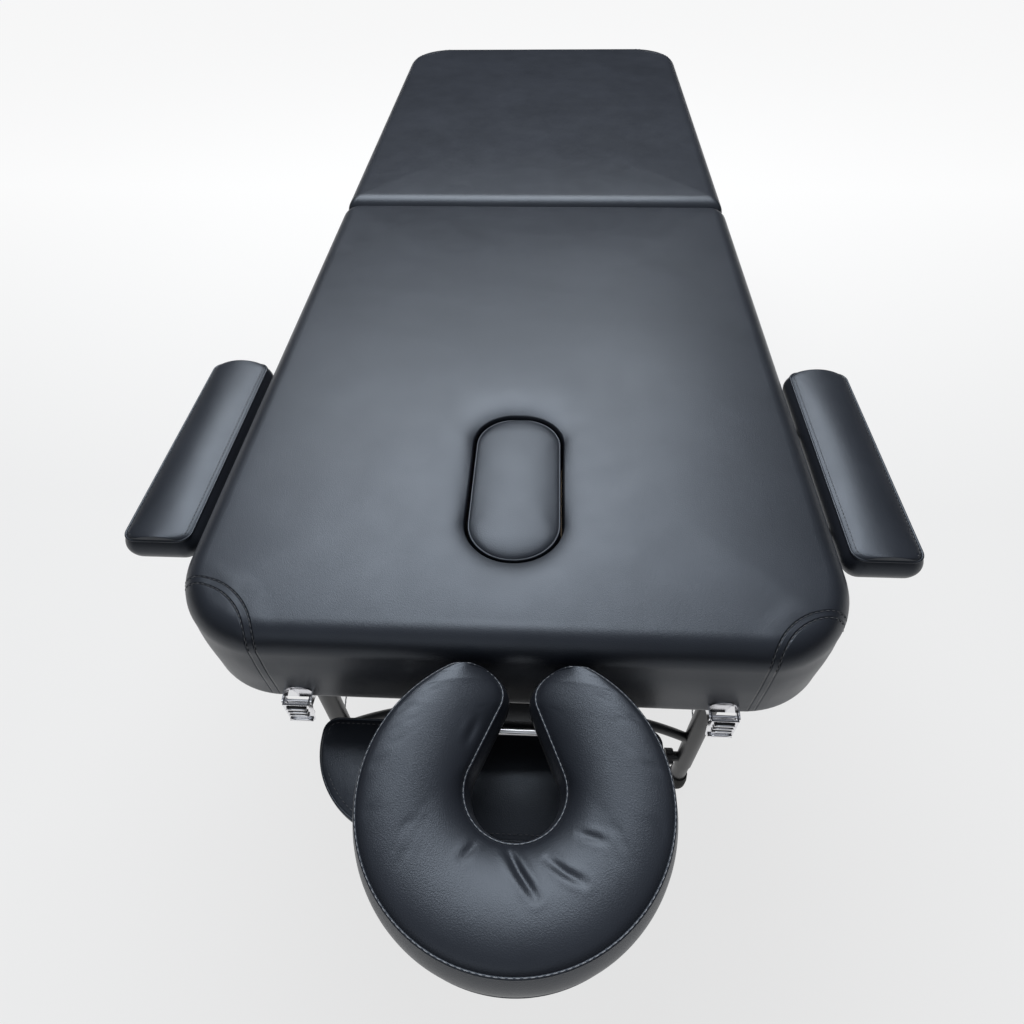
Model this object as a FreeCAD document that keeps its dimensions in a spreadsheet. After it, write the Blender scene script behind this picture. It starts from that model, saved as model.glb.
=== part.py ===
import FreeCAD, Part
import math
import os
import re

import Sketcher
from FreeCAD import Placement, Rotation, Vector

# A folding massage table: two padded panels hinged across the middle, each on a folding
# leg frame with telescopic legs, with two armrests, a face cradle and an arm sling.
# Z is up from the floor. X is to the right and Y runs to the foot end, seen from the head.

# Driving dimensions in millimetres
SIZES = {
    # Panels
    "table_height": 620,
    "panel_length": 930,
    "panel_width": 700,
    "panel_depth": 117,
    "panel_gap": 2,
    "head_corner": 106,
    "foot_corner": 105,
    "waist_corner": 34,
    "sharp_corner": 10,
    "edge_round": 28,
    "vinyl": 1.5,
    "rail_depth": 50,
    "rail_thick": 20,
    "rail_inner_corner": 3,
    "deck_thick": 6,
    "vent_bore": 30,
    "vent_pitch": 250,
    # Breath hole and its plug
    "hole_width": 113,
    "hole_length": 233,
    "hole_from_end": 105,
    "hole_ledge": 9,
    "plug_gap": 2.2,
    "plug_round": 7,
    # Clearances
    "clearance": 0.3,
    "run_fit": 0.06,
    # Middle hinges
    "hinge_drop": 5,
    "hinge_barrel": 4.5,
    "hinge_pin": 2,
    "hinge_long": 100,
    "hinge_pitch": 220,
    "leaf_reach": 38,
    "leaf_thick": 2,
    # Leg frames
    "head_leg_inset": 80,
    "foot_leg_inset": 40,
    "leg_from_end": 110,
    "pivot_above": 28,
    "leg_tube": 28,
    "leg_wall": 1.5,
    "leg_end_high": 81,
    "inner_leg_top": 30,
    "pivot_tube": 18,
    "brace_tube": 15,
    "brace_drop": 365,
    "brace_rise": 100,
    "bracket_thick": 3,
    "bracket_foot": 74,
    "bracket_flange": 30,
    "bracket_nose": 16,
    "knob_above_end": 20,
    "knob_head": 26,
    "knob_thick": 12,
    "knob_screw": 6,
    "knob_lobes": 6,
    "boss_width": 16,
    "boss_high": 6,
    "foot_width": 34,
    "foot_high": 34,
    "foot_sole": 6,
    "cable_width": 3,
    "cable_ball": 8,
    "cable_drop": 350,
    # Armrests
    "armrest_long": 340,
    "armrest_wide": 84,
    "armrest_high": 40,
    "armrest_gap": 24,
    "armrest_from_end": 146,
    "armrest_below": 35,
    "armrest_plate": 3,
    "armrest_round": 14,
    "armrest_bevel": 13,
    "peg_width": 12,
    "peg_pitch": 180,
    "peg_inside": 28,
    "peg_height": 25,
    # Face cradle
    "post_width": 20,
    "post_pitch": 140,
    "post_below": 97,
    "post_inside": 90,
    "bush_wall": 4,
    "bush_long": 42,
    "bush_flange": 4,
    "bar_from_end": 15,
    "bar_deep": 18,
    "bar_high": 24,
    "bar_long": 206,
    "cheek_thick": 8,
    "cradle_rod": 8,
    "tilt_rod_from_end": 178,
    "tilt_rod_below": 80,
    "arm_rod_from_end": 39,
    "arm_high": 20,
    "arm_thick": 8,
    "arm_side_gap": 1,
    "platform_thick": 8,
    "platform_inset": 12,
    "face_back": 110,
    "face_thick": 66,
    "face_above": 14,
    "face_from_end": 16,
    "face_aside": 10,
    "cradle_reach": 269,
    "face_opening": 84,
    "opening_from_end": 123,
    "throat_width": 24,
    "throat_flare": 26,
    "face_round": 14,
    "face_corner": 20,
    "lever_long": 58,
    "lever_head": 15,
    "lever_high": 14,
    "lever_pin": 4,
    # Arm sling
    "sling_long": 366,
    "sling_wide": 120,
    "sling_thick": 14,
    "sling_below": 142,
    "sling_from_end": 10,
    "sling_aside": 18,
    "sling_corner": 16,
    "stud_below": 115,
    "stud_width": 8,
    "strap_wide": 25,
    "strap_thick": 1.5,
    # Latches and handles
    "latch_x": 224,
    "latch_wide": 32,
    "latch_plate": 2.5,
    "latch_high": 22,
    "latch_pivot_up": 8,
    "latch_pivot_out": 9,
    "latch_lever": 30,
    "latch_claw": 26,
    "latch_pin": 3,
    "sheet_thick": 1.5,
    "catch_proud": 5,
    "handle_long": 230,
    "handle_wide": 30,
    "handle_thick": 3,
    "handle_bow": 9,
    "handle_from_hinge": 300,
}

# Lengths and places that follow from the driving dimensions
WORKED = {
    "hinge_y": "(cradle_reach - catch_proud) / 2",
    "end_y": "hinge_y - panel_length",
    "rail_z": "table_height - panel_depth",
    "deck_z": "rail_z + rail_depth",
    "foam_z": "deck_z + deck_thick",
    "frame_x": "panel_width / 2 - vinyl",
    "inside_x": "frame_x - rail_thick",
    "frame_end": "panel_length - vinyl",
    "axis_z": "rail_z - hinge_drop",
    "pivot_z": "rail_z + pivot_above",
    "leg_row": "panel_length - leg_from_end",
    "head_leg_x": "panel_width / 2 - head_leg_inset",
    "foot_leg_x": "panel_width / 2 - foot_leg_inset",
    "outer_leg": "pivot_z - leg_end_high",
    "knob_drop": "outer_leg - knob_above_end",
    "leg_bore": "leg_tube / 2 - leg_wall",
    "inner_leg": "leg_bore - run_fit",
    "hole_row": "panel_length - hole_from_end - hole_length / 2",
    "peg_z": "rail_z + peg_height",
    "armrest_row": "panel_length - armrest_from_end - armrest_long / 2",
    "armrest_x": "panel_width / 2 + armrest_gap",
    "armrest_z": "table_height - armrest_below - armrest_high",
    "post_z": "table_height - post_below",
    "arm_x": "bar_long / 2 - cheek_thick - arm_side_gap - arm_thick",
    "lug_x": "arm_x - arm_side_gap - arm_thick",
    "face_z": "table_height + face_above - face_thick",
    "platform_z": "face_z - platform_thick",
    "face_depth": "cradle_reach - face_from_end",
    "face_radius": "((face_back / 2) ^ 2 + face_depth ^ 2) / (2 * face_depth)",
    "face_hub": "cradle_reach - face_radius",
    "latch_z": "rail_z + latch_pivot_up",
    "stud_out": "sling_from_end + sling_wide / 2",
}

doc = FreeCAD.newDocument("massage_table")
sheet = doc.addObject("Spreadsheet::Sheet", "sizes")
for row, (alias, number) in enumerate(SIZES.items(), 1):
    sheet.set(f"A{row}", alias)
    sheet.set(f"B{row}", str(number))
    sheet.setAlias(f"B{row}", alias)
doc.recompute()
reader = doc.addObject("Part::Box", "reader")
parts = []


def spelled(text):
    """The expression with each worked length written out and each size read from the sheet."""
    def swap(match):
        word = match.group(0)
        if word in WORKED:
            return "(" + spelled(WORKED[word]) + ")"
        return "sizes." + word if word in SIZES else word
    return re.sub(r"[a-z_]+", swap, str(text))


def value(text):
    """The number that an expression comes to."""
    result = reader.evalExpression(spelled(text))
    return float(getattr(result, "Value", result))


def bind(thing, **settings):
    """Ties properties to expressions; a double underscore stands for the dot in a name."""
    for name, text in settings.items():
        thing.setExpression(name.replace("__", "."), spelled(text))


def put(thing, x="0", y="0", z="0", turn=None):
    """Places an object, turned by a fixed rotation and moved by expressions."""
    thing.Placement = Placement(Vector(value(x), value(y), value(z)), turn or Rotation())
    bind(thing, Placement__Base__x=x, Placement__Base__y=y, Placement__Base__z=z)
    return thing


def keep(thing, label):
    """Marks an object as a finished sub-part under the name of its file."""
    thing.Label = label
    parts.append(thing)
    return thing


# Solids from primitives and booleans

TURNS = {
    "x": Rotation(Vector(0, 1, 0), 90),
    "y": Rotation(Vector(1, 0, 0), -90),
    "z": Rotation(),
}


def block(name, x, y, z):
    """A box between two expressions on each axis."""
    box = doc.addObject("Part::Box", name)
    for side, (low, high) in (("Length", x), ("Width", y), ("Height", z)):
        bind(box, **{side: f"({high}) - ({low})"})
    return put(box, x[0], y[0], z[0])


def rod(name, axis, start, end, centre, width):
    """A round bar along an axis, from start to end, with its width as a diameter."""
    bar = doc.addObject("Part::Cylinder", name)
    bind(bar, Radius=f"({width}) / 2", Height=f"({end}) - ({start})")
    place = {"x": (start, *centre), "y": (centre[0], start, centre[1]), "z": (*centre, start)}[axis]
    return put(bar, *place, turn=TURNS[axis])


def join(name, *pieces):
    """One object from several: solids that touch become one, the others stay apart."""
    whole = doc.addObject("Part::MultiFuse", name)
    whole.Shapes = list(pieces)
    return whole


def cut(name, base, *tools):
    """The base less the tools."""
    left = doc.addObject("Part::Cut", name)
    left.Base = base
    left.Tool = tools[0] if len(tools) == 1 else join(name + "_tools", *tools)
    return left


def overlap(name, base, tool):
    """What two objects share."""
    shared = doc.addObject("Part::Common", name)
    shared.Base = base
    shared.Tool = tool
    return shared


# Solids from sketches

def new_body(name):
    """An empty body."""
    return doc.addObject("PartDesign::Body", name)


def new_sketch(body, name, plane, offset="0"):
    """A sketch on one of its body's own planes, moved along the plane's normal."""
    sketch = body.newObject("Sketcher::SketchObject", name)
    origin = next(f for f in body.Origin.OriginFeatures if f.Role == plane + "_Plane")
    sketch.AttachmentSupport = (origin, "")
    sketch.MapMode = "FlatFace"
    sketch.AttachmentOffset = Placement(Vector(0, 0, value(offset)), Rotation())
    bind(sketch, AttachmentOffset__Base__z=offset)
    return sketch


def pin_point(sketch, geometry, end, across, up, name):
    """Fixes a sketch point at two expressions from the origin."""
    for kind, text in (("DistanceX", across), ("DistanceY", up)):
        index = sketch.addConstraint(Sketcher.Constraint(kind, -1, 1, geometry, end, value(text)))
        label = f"{name}_{kind[-1].lower()}"
        sketch.renameConstraint(index, label)
        sketch.setExpression(f"Constraints.{label}", spelled(text))


def draw(sketch, corners):
    """A closed outline through corners (across, up). A third entry, (across, up, turn), is the
    centre of an arc to the next corner, with turn 1 to the left and -1 to the right."""
    places = [Vector(value(c[0]), value(c[1]), 0) for c in corners]
    ends = []
    first = sketch.GeometryCount
    for number, corner in enumerate(corners):
        start, end = places[number], places[(number + 1) % len(corners)]
        if len(corner) == 2:
            sketch.addGeometry(Part.LineSegment(start, end), False)
            ends.append((1, 2))
            continue
        across, up, turn = corner[2]
        centre = Vector(value(across), value(up), 0)
        circle = Part.Circle(centre, Vector(0, 0, 1), (start - centre).Length)
        if turn < 0:
            start, end = end, start
        angles = [math.atan2(p.y - centre.y, p.x - centre.x) for p in (start, end)]
        sketch.addGeometry(Part.ArcOfCircle(circle, *angles), False)
        ends.append((1, 2) if turn > 0 else (2, 1))
    for number, corner in enumerate(corners):
        after = (number + 1) % len(corners)
        here, there = first + number, first + after
        sketch.addConstraint(
            Sketcher.Constraint("Coincident", here, ends[number][1], there, ends[after][0]))
        pin_point(sketch, here, ends[number][0], corner[0], corner[1], f"corner{here}")
        if len(corner) == 3:
            run = places[after] - places[number]
            kind, text = ("DistanceY", corner[2][1]) if abs(run.x) >= abs(run.y) else (
                "DistanceX", corner[2][0])
            index = sketch.addConstraint(
                Sketcher.Constraint(kind, -1, 1, here, 3, value(text)))
            sketch.renameConstraint(index, f"centre{here}")
            sketch.setExpression(f"Constraints.centre{here}", spelled(text))
    return sketch


def draw_circle(sketch, across, up, width):
    """A circle about a point, with its width as a diameter."""
    centre = Vector(value(across), value(up), 0)
    index = sketch.addGeometry(
        Part.Circle(centre, Vector(0, 0, 1), value(width) / 2), False)
    pin_point(sketch, index, 3, across, up, f"hub{index}")
    size = sketch.addConstraint(Sketcher.Constraint("Diameter", index, value(width)))
    sketch.renameConstraint(size, f"width{index}")
    sketch.setExpression(f"Constraints.width{index}", spelled(width))
    return sketch


def rounded(low_x, high_x, low_y, high_y, low_corner, high_corner):
    """The corners of a rectangle whose low and high ends have their own corner radii."""
    a, b = f"({low_corner})", f"({high_corner})"
    return [
        (f"{low_x} + {a}", low_y),
        (f"{high_x} - {a}", low_y, (f"{high_x} - {a}", f"{low_y} + {a}", 1)),
        (high_x, f"{low_y} + {a}"),
        (high_x, f"{high_y} - {b}", (f"{high_x} - {b}", f"{high_y} - {b}", 1)),
        (f"{high_x} - {b}", high_y),
        (f"{low_x} + {b}", high_y, (f"{low_x} + {b}", f"{high_y} - {b}", 1)),
        (low_x, f"{high_y} - {b}"),
        (low_x, f"{low_y} + {a}", (f"{low_x} + {a}", f"{low_y} + {a}", 1)),
    ]


def feature(body, kind, name, profile, length, back=False, both=False):
    """A pad or pocket of a sketch."""
    made = body.newObject("PartDesign::" + kind, name)
    made.Profile = profile
    bind(made, Length=length)
    made.Reversed = back
    if both:
        made.SideType = "Symmetric"
    doc.recompute()
    return made


def cut_into(body, kind, name, profile, length, back=False, both=False):
    """A pocket that must take material away, or the build stops."""
    before = body.Shape.Volume
    made = feature(body, kind, name, profile, length, back, both)
    if body.Shape.Volume > before - 1e-3:
        raise RuntimeError(f"{name} cuts nothing")
    return made


def soften(body, name, radius, wanted):
    """Rounds the edges of a body for which wanted(edge) is true."""
    base = body.Tip
    chosen = [f"Edge{i}" for i, edge in enumerate(base.Shape.Edges, 1) if wanted(edge)]
    if not chosen:
        raise RuntimeError(f"{name} finds no edge")
    made = body.newObject("PartDesign::Fillet", name)
    made.Base = (base, chosen)
    bind(made, Radius=radius)
    doc.recompute()
    return made


def at_height(height):
    """A test for edges that lie wholly at a height of their body."""
    level = value(height)
    return lambda edge: (abs(edge.BoundBox.ZMin - level) < 1e-4
                         and abs(edge.BoundBox.ZMax - level) < 1e-4)


# Panels

def panel_outline(side, inset, wall="0"):
    """The plan of a panel, drawn in from its edge. side is -1 for the head and 1 for the foot."""
    half = f"panel_width / 2 - {inset} - {wall}"
    start, end = f"(panel_gap / 2 + {wall})", f"(panel_length - {inset} - {wall})"
    if side < 0:
        corners = (f"head_corner - {inset} - {wall}", f"waist_corner - {wall}")
        return rounded(f"-({half})", half, f"-{end}", f"-{start}", *corners)
    corners = ("sharp_corner", f"foot_corner - {inset} - {wall}")
    return rounded(f"-({half})", half, start, end, *corners)


def breath_hole(narrowed):
    """The outline of the breath hole, made narrower all round."""
    half = f"hole_width / 2 - {narrowed}"
    low = f"-hole_row - hole_length / 2 + {narrowed}"
    high = f"-hole_row + hole_length / 2 - {narrowed}"
    return rounded(f"-({half})", half, low, high, f"{half} - 1", f"{half} - 5")


def make_cushion(word, side):
    """The foam block of a panel, rounded over along its top edges."""
    body = put(new_body(word + "_cushion_body"), y="hinge_y", z="foam_z")
    plan = draw(new_sketch(body, word + "_cushion_plan", "XY"), panel_outline(side, "0"))
    high = "table_height - foam_z"
    feature(body, "Pad", word + "_cushion_pad", plan, high)
    soften(body, word + "_cushion_edge", "edge_round", at_height(high))
    if side < 0:
        plan = draw(new_sketch(body, "breath_hole_plan", "XY"), breath_hole("0"))
        cut_into(body, "Pocket", "breath_hole", plan, high, back=True)
        near = at_height(high)
        half = value("hole_length") / 2 + 1
        row = value("hole_row")
        soften(body, "breath_hole_edge", "plug_round",
               lambda edge: near(edge) and abs(edge.CenterOfMass.y + row) < half
               and abs(edge.CenterOfMass.x) < half)
    return keep(body, word + "_cushion")


def make_deck(word, side):
    """The plywood deck under the foam, with its row of vents."""
    body = put(new_body(word + "_deck_body"), y="hinge_y", z="deck_z")
    plan = draw(new_sketch(body, word + "_deck_plan", "XY"), panel_outline(side, "vinyl"))
    feature(body, "Pad", word + "_deck_pad", plan, "deck_thick")
    holes = new_sketch(body, word + "_deck_holes", "XY")
    row = "panel_length / 4" if side < 0 else "-panel_length / 2"
    for across in ("-vent_pitch / 2", "vent_pitch / 2"):
        draw_circle(holes, across, f"-({row})", "vent_bore")
    if side < 0:
        draw(holes, breath_hole("hole_ledge"))
    cut_into(body, "Pocket", word + "_deck_cut", holes, "deck_thick", back=True)
    return keep(body, word + "_deck")


def make_rails(word, side, tools):
    """The four rails of a panel, cut from one bent frame; tools are what is bored out of each."""
    body = put(new_body(word + "_frame"), y="hinge_y", z="rail_z")
    plan = draw(new_sketch(body, word + "_frame_plan", "XY"), panel_outline(side, "vinyl"))
    feature(body, "Pad", word + "_frame_pad", plan, "rail_depth")
    inner = draw(new_sketch(body, word + "_frame_inner", "XY"),
                 panel_outline(side, "vinyl", "rail_thick") if side < 0 else foot_inner())
    cut_into(body, "Pocket", word + "_frame_cut", inner, "rail_depth", back=True)
    wide = "panel_width"
    end_corner = "head_corner" if side < 0 else "foot_corner"
    hinge_corner = ("waist_corner" if side < 0 else
                    "panel_gap / 2 + rail_thick + rail_inner_corner")
    near, far = f"{hinge_corner}", f"panel_length - {end_corner}"
    spans = {
        "hinge": ("-" + wide, wide, "0", near),
        "end": ("-" + wide, wide, far, "panel_length"),
        "left": ("-" + wide, "0", near, far),
        "right": ("0", wide, near, far),
    }
    for place, (low_x, high_x, low, high) in spans.items():
        if side < 0:
            low, high = f"-({high})", f"-({low})"
        zone = block(f"{word}_{place}_zone", (low_x, high_x),
                     (f"hinge_y + {low}", f"hinge_y + {high}"), ("rail_z", "deck_z"))
        rail = overlap(f"{word}_{place}_rail_blank", body, zone)
        if place in tools:
            rail = cut(f"{word}_{place}_rail_bored", rail, *tools[place])
        keep(rail, f"{word}_{place}_rail")


def foot_inner():
    """The inner line of the foot panel's frame, square at the hinge."""
    half = "inside_x"
    corner = "foot_corner - vinyl - rail_thick"
    start, end = "(panel_gap / 2 + rail_thick)", "(frame_end - rail_thick)"
    return rounded(f"-{half}", half, start, end, "rail_inner_corner", corner)


head_tools = {
    "end": [rod(f"bush_bore_{n}", "y", "end_y - 1", "end_y + bush_long",
                (f"{n} * post_pitch / 2", "post_z"),
                "post_width + 2 * bush_wall + 4 * run_fit") for n in (-1, 1)],
}
for word, sign in (("left", -1), ("right", 1)):
    head_tools[word] = [
        rod(f"peg_bore_{word}_{n}", "x", f"{sign} * panel_width / 2 - rail_thick * 2",
            f"{sign} * panel_width / 2 + rail_thick * 2",
            (f"hinge_y - armrest_row + {n} * peg_pitch / 2", "peg_z"),
            "peg_width + 2 * run_fit") for n in (-1, 1)]
foot_tools = {
    "end": [rod(f"foot_bore_{n}", "y", "hinge_y + panel_length - 2 * rail_thick",
                "hinge_y + panel_length + 1", (f"{n} * post_pitch / 2", "post_z"),
                "post_width + 2 * run_fit") for n in (-1, 1)],
}
make_cushion("head", -1)
make_cushion("foot", 1)
make_deck("head", -1)
make_deck("foot", 1)
make_rails("head", -1, head_tools)
make_rails("foot", 1, foot_tools)

# Plug of the breath hole: it stands on the ledge that the deck leaves round its own hole
plug = put(new_body("plug_body"), y="hinge_y", z="foam_z + clearance")
plug_plan = draw(new_sketch(plug, "plug_plan", "XY"), breath_hole("plug_gap"))
feature(plug, "Pad", "plug_pad", plug_plan, "table_height - foam_z - clearance")
soften(plug, "plug_edge", "plug_round", at_height("table_height - foam_z - clearance"))
keep(plug, "breath_hole_plug")


# Middle hinges: three butt hinges under the rails, with five knuckles each

KNUCKLES = 5


def make_leaf(side, middle, number):
    """One leaf: a plate under the rail and its share of the knuckles."""
    word = "head" if side < 0 else "foot"
    name = f"{word}_leaf_{number}"
    half = "hinge_long / 2"
    first, last = sorted((f"{side} * leaf_reach", f"{side} * (hinge_barrel + 1.5)"),
                         key=value)
    pieces = [block(name + "_plate", (f"{middle} - {half}", f"{middle} + {half}"),
                    (f"hinge_y + {first}", f"hinge_y + {last}"),
                    ("rail_z - leaf_thick", "rail_z"))]
    step = f"hinge_long / {KNUCKLES}"
    for knuckle in range(0 if side < 0 else 1, KNUCKLES, 2):
        low = f"{middle} - {half} + {knuckle} * {step} + clearance / 2"
        high = f"{middle} - {half} + {knuckle + 1} * {step} - clearance / 2"
        pieces.append(rod(f"{name}_knuckle_{knuckle}", "x", low, high,
                          ("hinge_y", "axis_z"), "2 * hinge_barrel"))
        near, far = sorted((f"{side} * (hinge_barrel + 2)", f"{side} * panel_gap"), key=value)
        pieces.append(block(f"{name}_tab_{knuckle}", (low, high),
                            (f"hinge_y + {near}", f"hinge_y + {far}"),
                            ("rail_z - leaf_thick", "rail_z - clearance")))
    bore = rod(name + "_bore", "x", f"{middle} - hinge_long", f"{middle} + hinge_long",
               ("hinge_y", "axis_z"), "2 * hinge_pin + 2 * run_fit")
    return cut(name, join(name + "_whole", *pieces), bore)


MIDDLES = ("-hinge_pitch", "0", "hinge_pitch")
pins = [rod(f"hinge_pin_{n}", "x", f"{m} - hinge_long / 2", f"{m} + hinge_long / 2",
            ("hinge_y", "axis_z"), "2 * hinge_pin") for n, m in enumerate(MIDDLES)]
keep(join("hinge_leaves_head", *[make_leaf(-1, m, n) for n, m in enumerate(MIDDLES)], *pins),
     "head_hinge_leaves")
keep(join("hinge_leaves_foot", *[make_leaf(1, m, n) for n, m in enumerate(MIDDLES)]),
     "foot_hinge_leaves")


# Leg frames: two telescopic legs on a pivot tube, with an arched brace between them

def make_bracket(name, sign, leg_x, row):
    """A pressed bracket under the deck whose nose carries the pivot tube."""
    outer = f"{leg_x} - leg_tube / 2 - 1"
    body = put(new_body(name), x=f"{sign} * ({outer} - bracket_thick / 2)",
               y=f"hinge_y + {row}", z="pivot_z")
    high = "deck_z - pivot_z"
    plate = draw(new_sketch(body, name + "_plate", "YZ"), [
        ("bracket_foot / 2", high),
        ("-bracket_foot / 2", high),
        ("-bracket_nose", "0", ("0", "0", 1)),
        ("bracket_nose", "0"),
    ])
    feature(body, "Pad", name + "_pad", plate, "bracket_thick", both=True)
    bore = draw_circle(new_sketch(body, name + "_bore", "YZ"), "0", "0",
                       "pivot_tube + 2 * run_fit")
    cut_into(body, "Pocket", name + "_hole", bore, "4 * bracket_thick", both=True)
    low, wide = sorted((f"{sign} * bracket_thick / 2", f"-{sign} * bracket_flange"), key=value)
    flange = draw(new_sketch(body, name + "_flange", "XY", high), [
        (low, "-bracket_foot / 2"), (wide, "-bracket_foot / 2"),
        (wide, "bracket_foot / 2"), (low, "bracket_foot / 2")])
    feature(body, "Pad", name + "_flange_pad", flange, "bracket_thick", back=True)
    return body


def make_knob(name, sign, leg_x, row):
    """A lobed clamp knob and its screw, on the inner side of a leg."""
    body = new_body(name)
    tip = "leg_bore + clearance"
    screw = draw_circle(new_sketch(body, name + "_screw", "XY"), "0", "0", "knob_screw")
    start = "leg_tube / 2 + boss_high + clearance"
    feature(body, "Pad", name + "_screw_pad", screw, f"{start} - ({tip}) + 1")
    face = new_sketch(body, name + "_face", "XY", f"{start} - ({tip})")
    draw_circle(face, "0", "0", "knob_head")
    feature(body, "Pad", name + "_head", face, "knob_thick")
    notch = new_sketch(body, name + "_notch", "XY", f"{start} - ({tip})")
    draw_circle(notch, "knob_head / 2 + 2", "0", "knob_head / 3")
    scoop = cut_into(body, "Pocket", name + "_scoop", notch, "knob_thick", back=True)
    ring = body.newObject("PartDesign::PolarPattern", name + "_lobes")
    ring.Originals = [scoop]
    ring.Axis = (notch, ["N_Axis"])
    ring.Angle = 360
    bind(ring, Occurrences="knob_lobes")
    body.Tip = ring
    doc.recompute()
    turn = Rotation(Vector(0, 1, 0), -90 * sign)
    return put(body, f"{sign} * ({leg_x} - ({tip}))", f"hinge_y + {row}",
               "pivot_z - knob_drop", turn)


def make_leg(word, sign, leg_x, row):
    """One telescopic leg: the outer tube with its clamp boss, the inner tube, the foot, the knob."""
    side = "left" if sign < 0 else "right"
    name = f"{word}_{side}"
    x, y = f"{sign} * {leg_x}", f"hinge_y + {row}"
    tube = rod(name + "_tube", "z", "pivot_z - outer_leg", "pivot_z + leg_tube / 2", (x, y),
               "leg_tube")
    reach = "leg_tube / 2 + boss_high"
    ends = sorted((f"{x} - {sign} * ({reach})", x), key=value)
    boss = rod(name + "_boss", "x", *ends, (y, "pivot_z - knob_drop"), "boss_width")
    bore = rod(name + "_tube_bore", "z", "pivot_z - outer_leg - 1",
               "pivot_z + leg_tube / 2 - leg_wall", (x, y), "2 * leg_bore")
    cross = rod(name + "_pivot_bore", "x", f"{x} - leg_tube", f"{x} + leg_tube",
                (y, "pivot_z"), "pivot_tube")
    screw = rod(name + "_screw_bore", "x", *sorted((f"{x} - {sign} * leg_tube", x), key=value),
                (y, "pivot_z - knob_drop"), "knob_screw + 2 * run_fit")
    keep(cut(name + "_outer", join(name + "_outer_whole", tube, boss), bore, cross, screw),
         f"{name}_outer_leg")
    inner = rod(name + "_inner", "z", "foot_sole", "pivot_z - inner_leg_top", (x, y),
                "2 * inner_leg")
    hollow = rod(name + "_inner_bore", "z", "0", "pivot_z", (x, y),
                 "2 * inner_leg - 2 * leg_wall")
    keep(cut(name + "_inner_cut", inner, hollow), f"{name}_inner_leg")
    foot = put(new_body(name + "_foot_body"), x, y)
    lip = "inner_leg + run_fit"
    profile = draw(new_sketch(foot, name + "_foot_profile", "XZ"), [
        ("0", "0"), ("foot_width / 2 - 2", "0"), ("foot_width / 2", "3"),
        ("foot_width / 2", "foot_high / 2"), ("foot_width / 2 - 2", "foot_high"),
        (lip, "foot_high"), (lip, "foot_sole"), ("0", "foot_sole")])
    turned = foot.newObject("PartDesign::Revolution", name + "_foot_turned")
    turned.Profile = profile
    turned.ReferenceAxis = (profile, ["V_Axis"])
    turned.Angle = 360
    doc.recompute()
    keep(foot, f"{name}_foot")
    keep(make_knob(name + "_knob_body", sign, leg_x, row), f"{name}_knob")


def make_arch(name, leg_x, row, tubes):
    """The arched brace: part of a ring from leg to leg, ended on the tubes."""
    half, rise = value(leg_x), value("brace_rise")
    radius = f"({leg_x} * {leg_x} + brace_rise * brace_rise) / (2 * brace_rise)"
    ring = doc.addObject("Part::Torus", name + "_ring")
    bind(ring, Radius1=radius, Radius2="brace_tube / 2")
    sweep = 4 * math.degrees(math.atan2(rise, half))
    bind(ring, Angle3=f"4 * atan(brace_rise / {leg_x})")
    stand = Rotation(Vector(1, 0, 0), 90) * Rotation(Vector(0, 0, 1), 90 - sweep / 2)
    put(ring, "0", f"hinge_y + {row}", f"pivot_z - brace_drop + brace_rise - {radius}", stand)
    return cut(name, ring, *tubes)


def make_frame(word, side, leg_x):
    """A whole leg frame with its brackets and cables. side is -1 for the head, 1 for the foot."""
    row = f"{side} * leg_row"
    for sign in (-1, 1):
        make_leg(word, sign, leg_x, row)
    end = f"{leg_x} + leg_tube / 2 + 1"
    pivot = rod(word + "_pivot", "x", f"-({end})", end, (f"hinge_y + {row}", "pivot_z"),
                "pivot_tube")
    hollow = rod(word + "_pivot_bore", "x", f"-({end})", end, (f"hinge_y + {row}", "pivot_z"),
                 "pivot_tube - 2 * leg_wall")
    solids = [rod(f"{word}_arch_end_{n}", "z", "0", "pivot_z",
                  (f"{n} * {leg_x}", f"hinge_y + {row}"), "leg_tube") for n in (-1, 1)]
    keep(join(word + "_cross", cut(word + "_pivot_cut", pivot, hollow),
              make_arch(word + "_arch", leg_x, row, solids)), f"{word}_cross_tubes")
    brackets = [make_bracket(f"{word}_bracket_{n}", sign, leg_x, row)
                for n, sign in (("left", -1), ("right", 1))]
    keep(join(word + "_brackets", *brackets), f"{word}_leg_brackets")
    cables = [make_cable(f"{word}_cable_{n}", n, side, leg_x) for n in (-1, 1)]
    keep(join(word + "_cables", *cables), f"{word}_stay_cables")


def make_cable(name, sign, side, leg_x):
    """A straight stay from a leg up to the hinge rail, with a ball terminal at each end."""
    x = f"{sign} * {leg_x}"
    stand_off = "cable_ball / 2 + clearance"
    low = (x, f"hinge_y + {side} * (leg_row - leg_tube / 2 - {stand_off})",
           "pivot_z - cable_drop")
    high = (x, f"hinge_y + {side} * (panel_gap / 2 + rail_thick + {stand_off})",
            "rail_z + rail_depth / 2")
    start, end = (Vector(*[value(t) for t in place]) for place in (low, high))
    balls = []
    for number, place in enumerate((low, high)):
        ball = doc.addObject("Part::Sphere", f"{name}_ball_{number}")
        bind(ball, Radius="cable_ball / 2")
        balls.append(put(ball, *place))
    wire = doc.addObject("Part::Cylinder", name + "_wire")
    bind(wire, Radius="cable_width / 2")
    wire.Height = (end - start).Length
    put(wire, *low, turn=Rotation(Vector(0, 0, 1), end - start))
    return join(name, wire, *balls)


make_frame("head", -1, "head_leg_x")
make_frame("foot", 1, "foot_leg_x")


# Armrests: a pad on a steel carrier whose two pegs slide in the side rail

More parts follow.
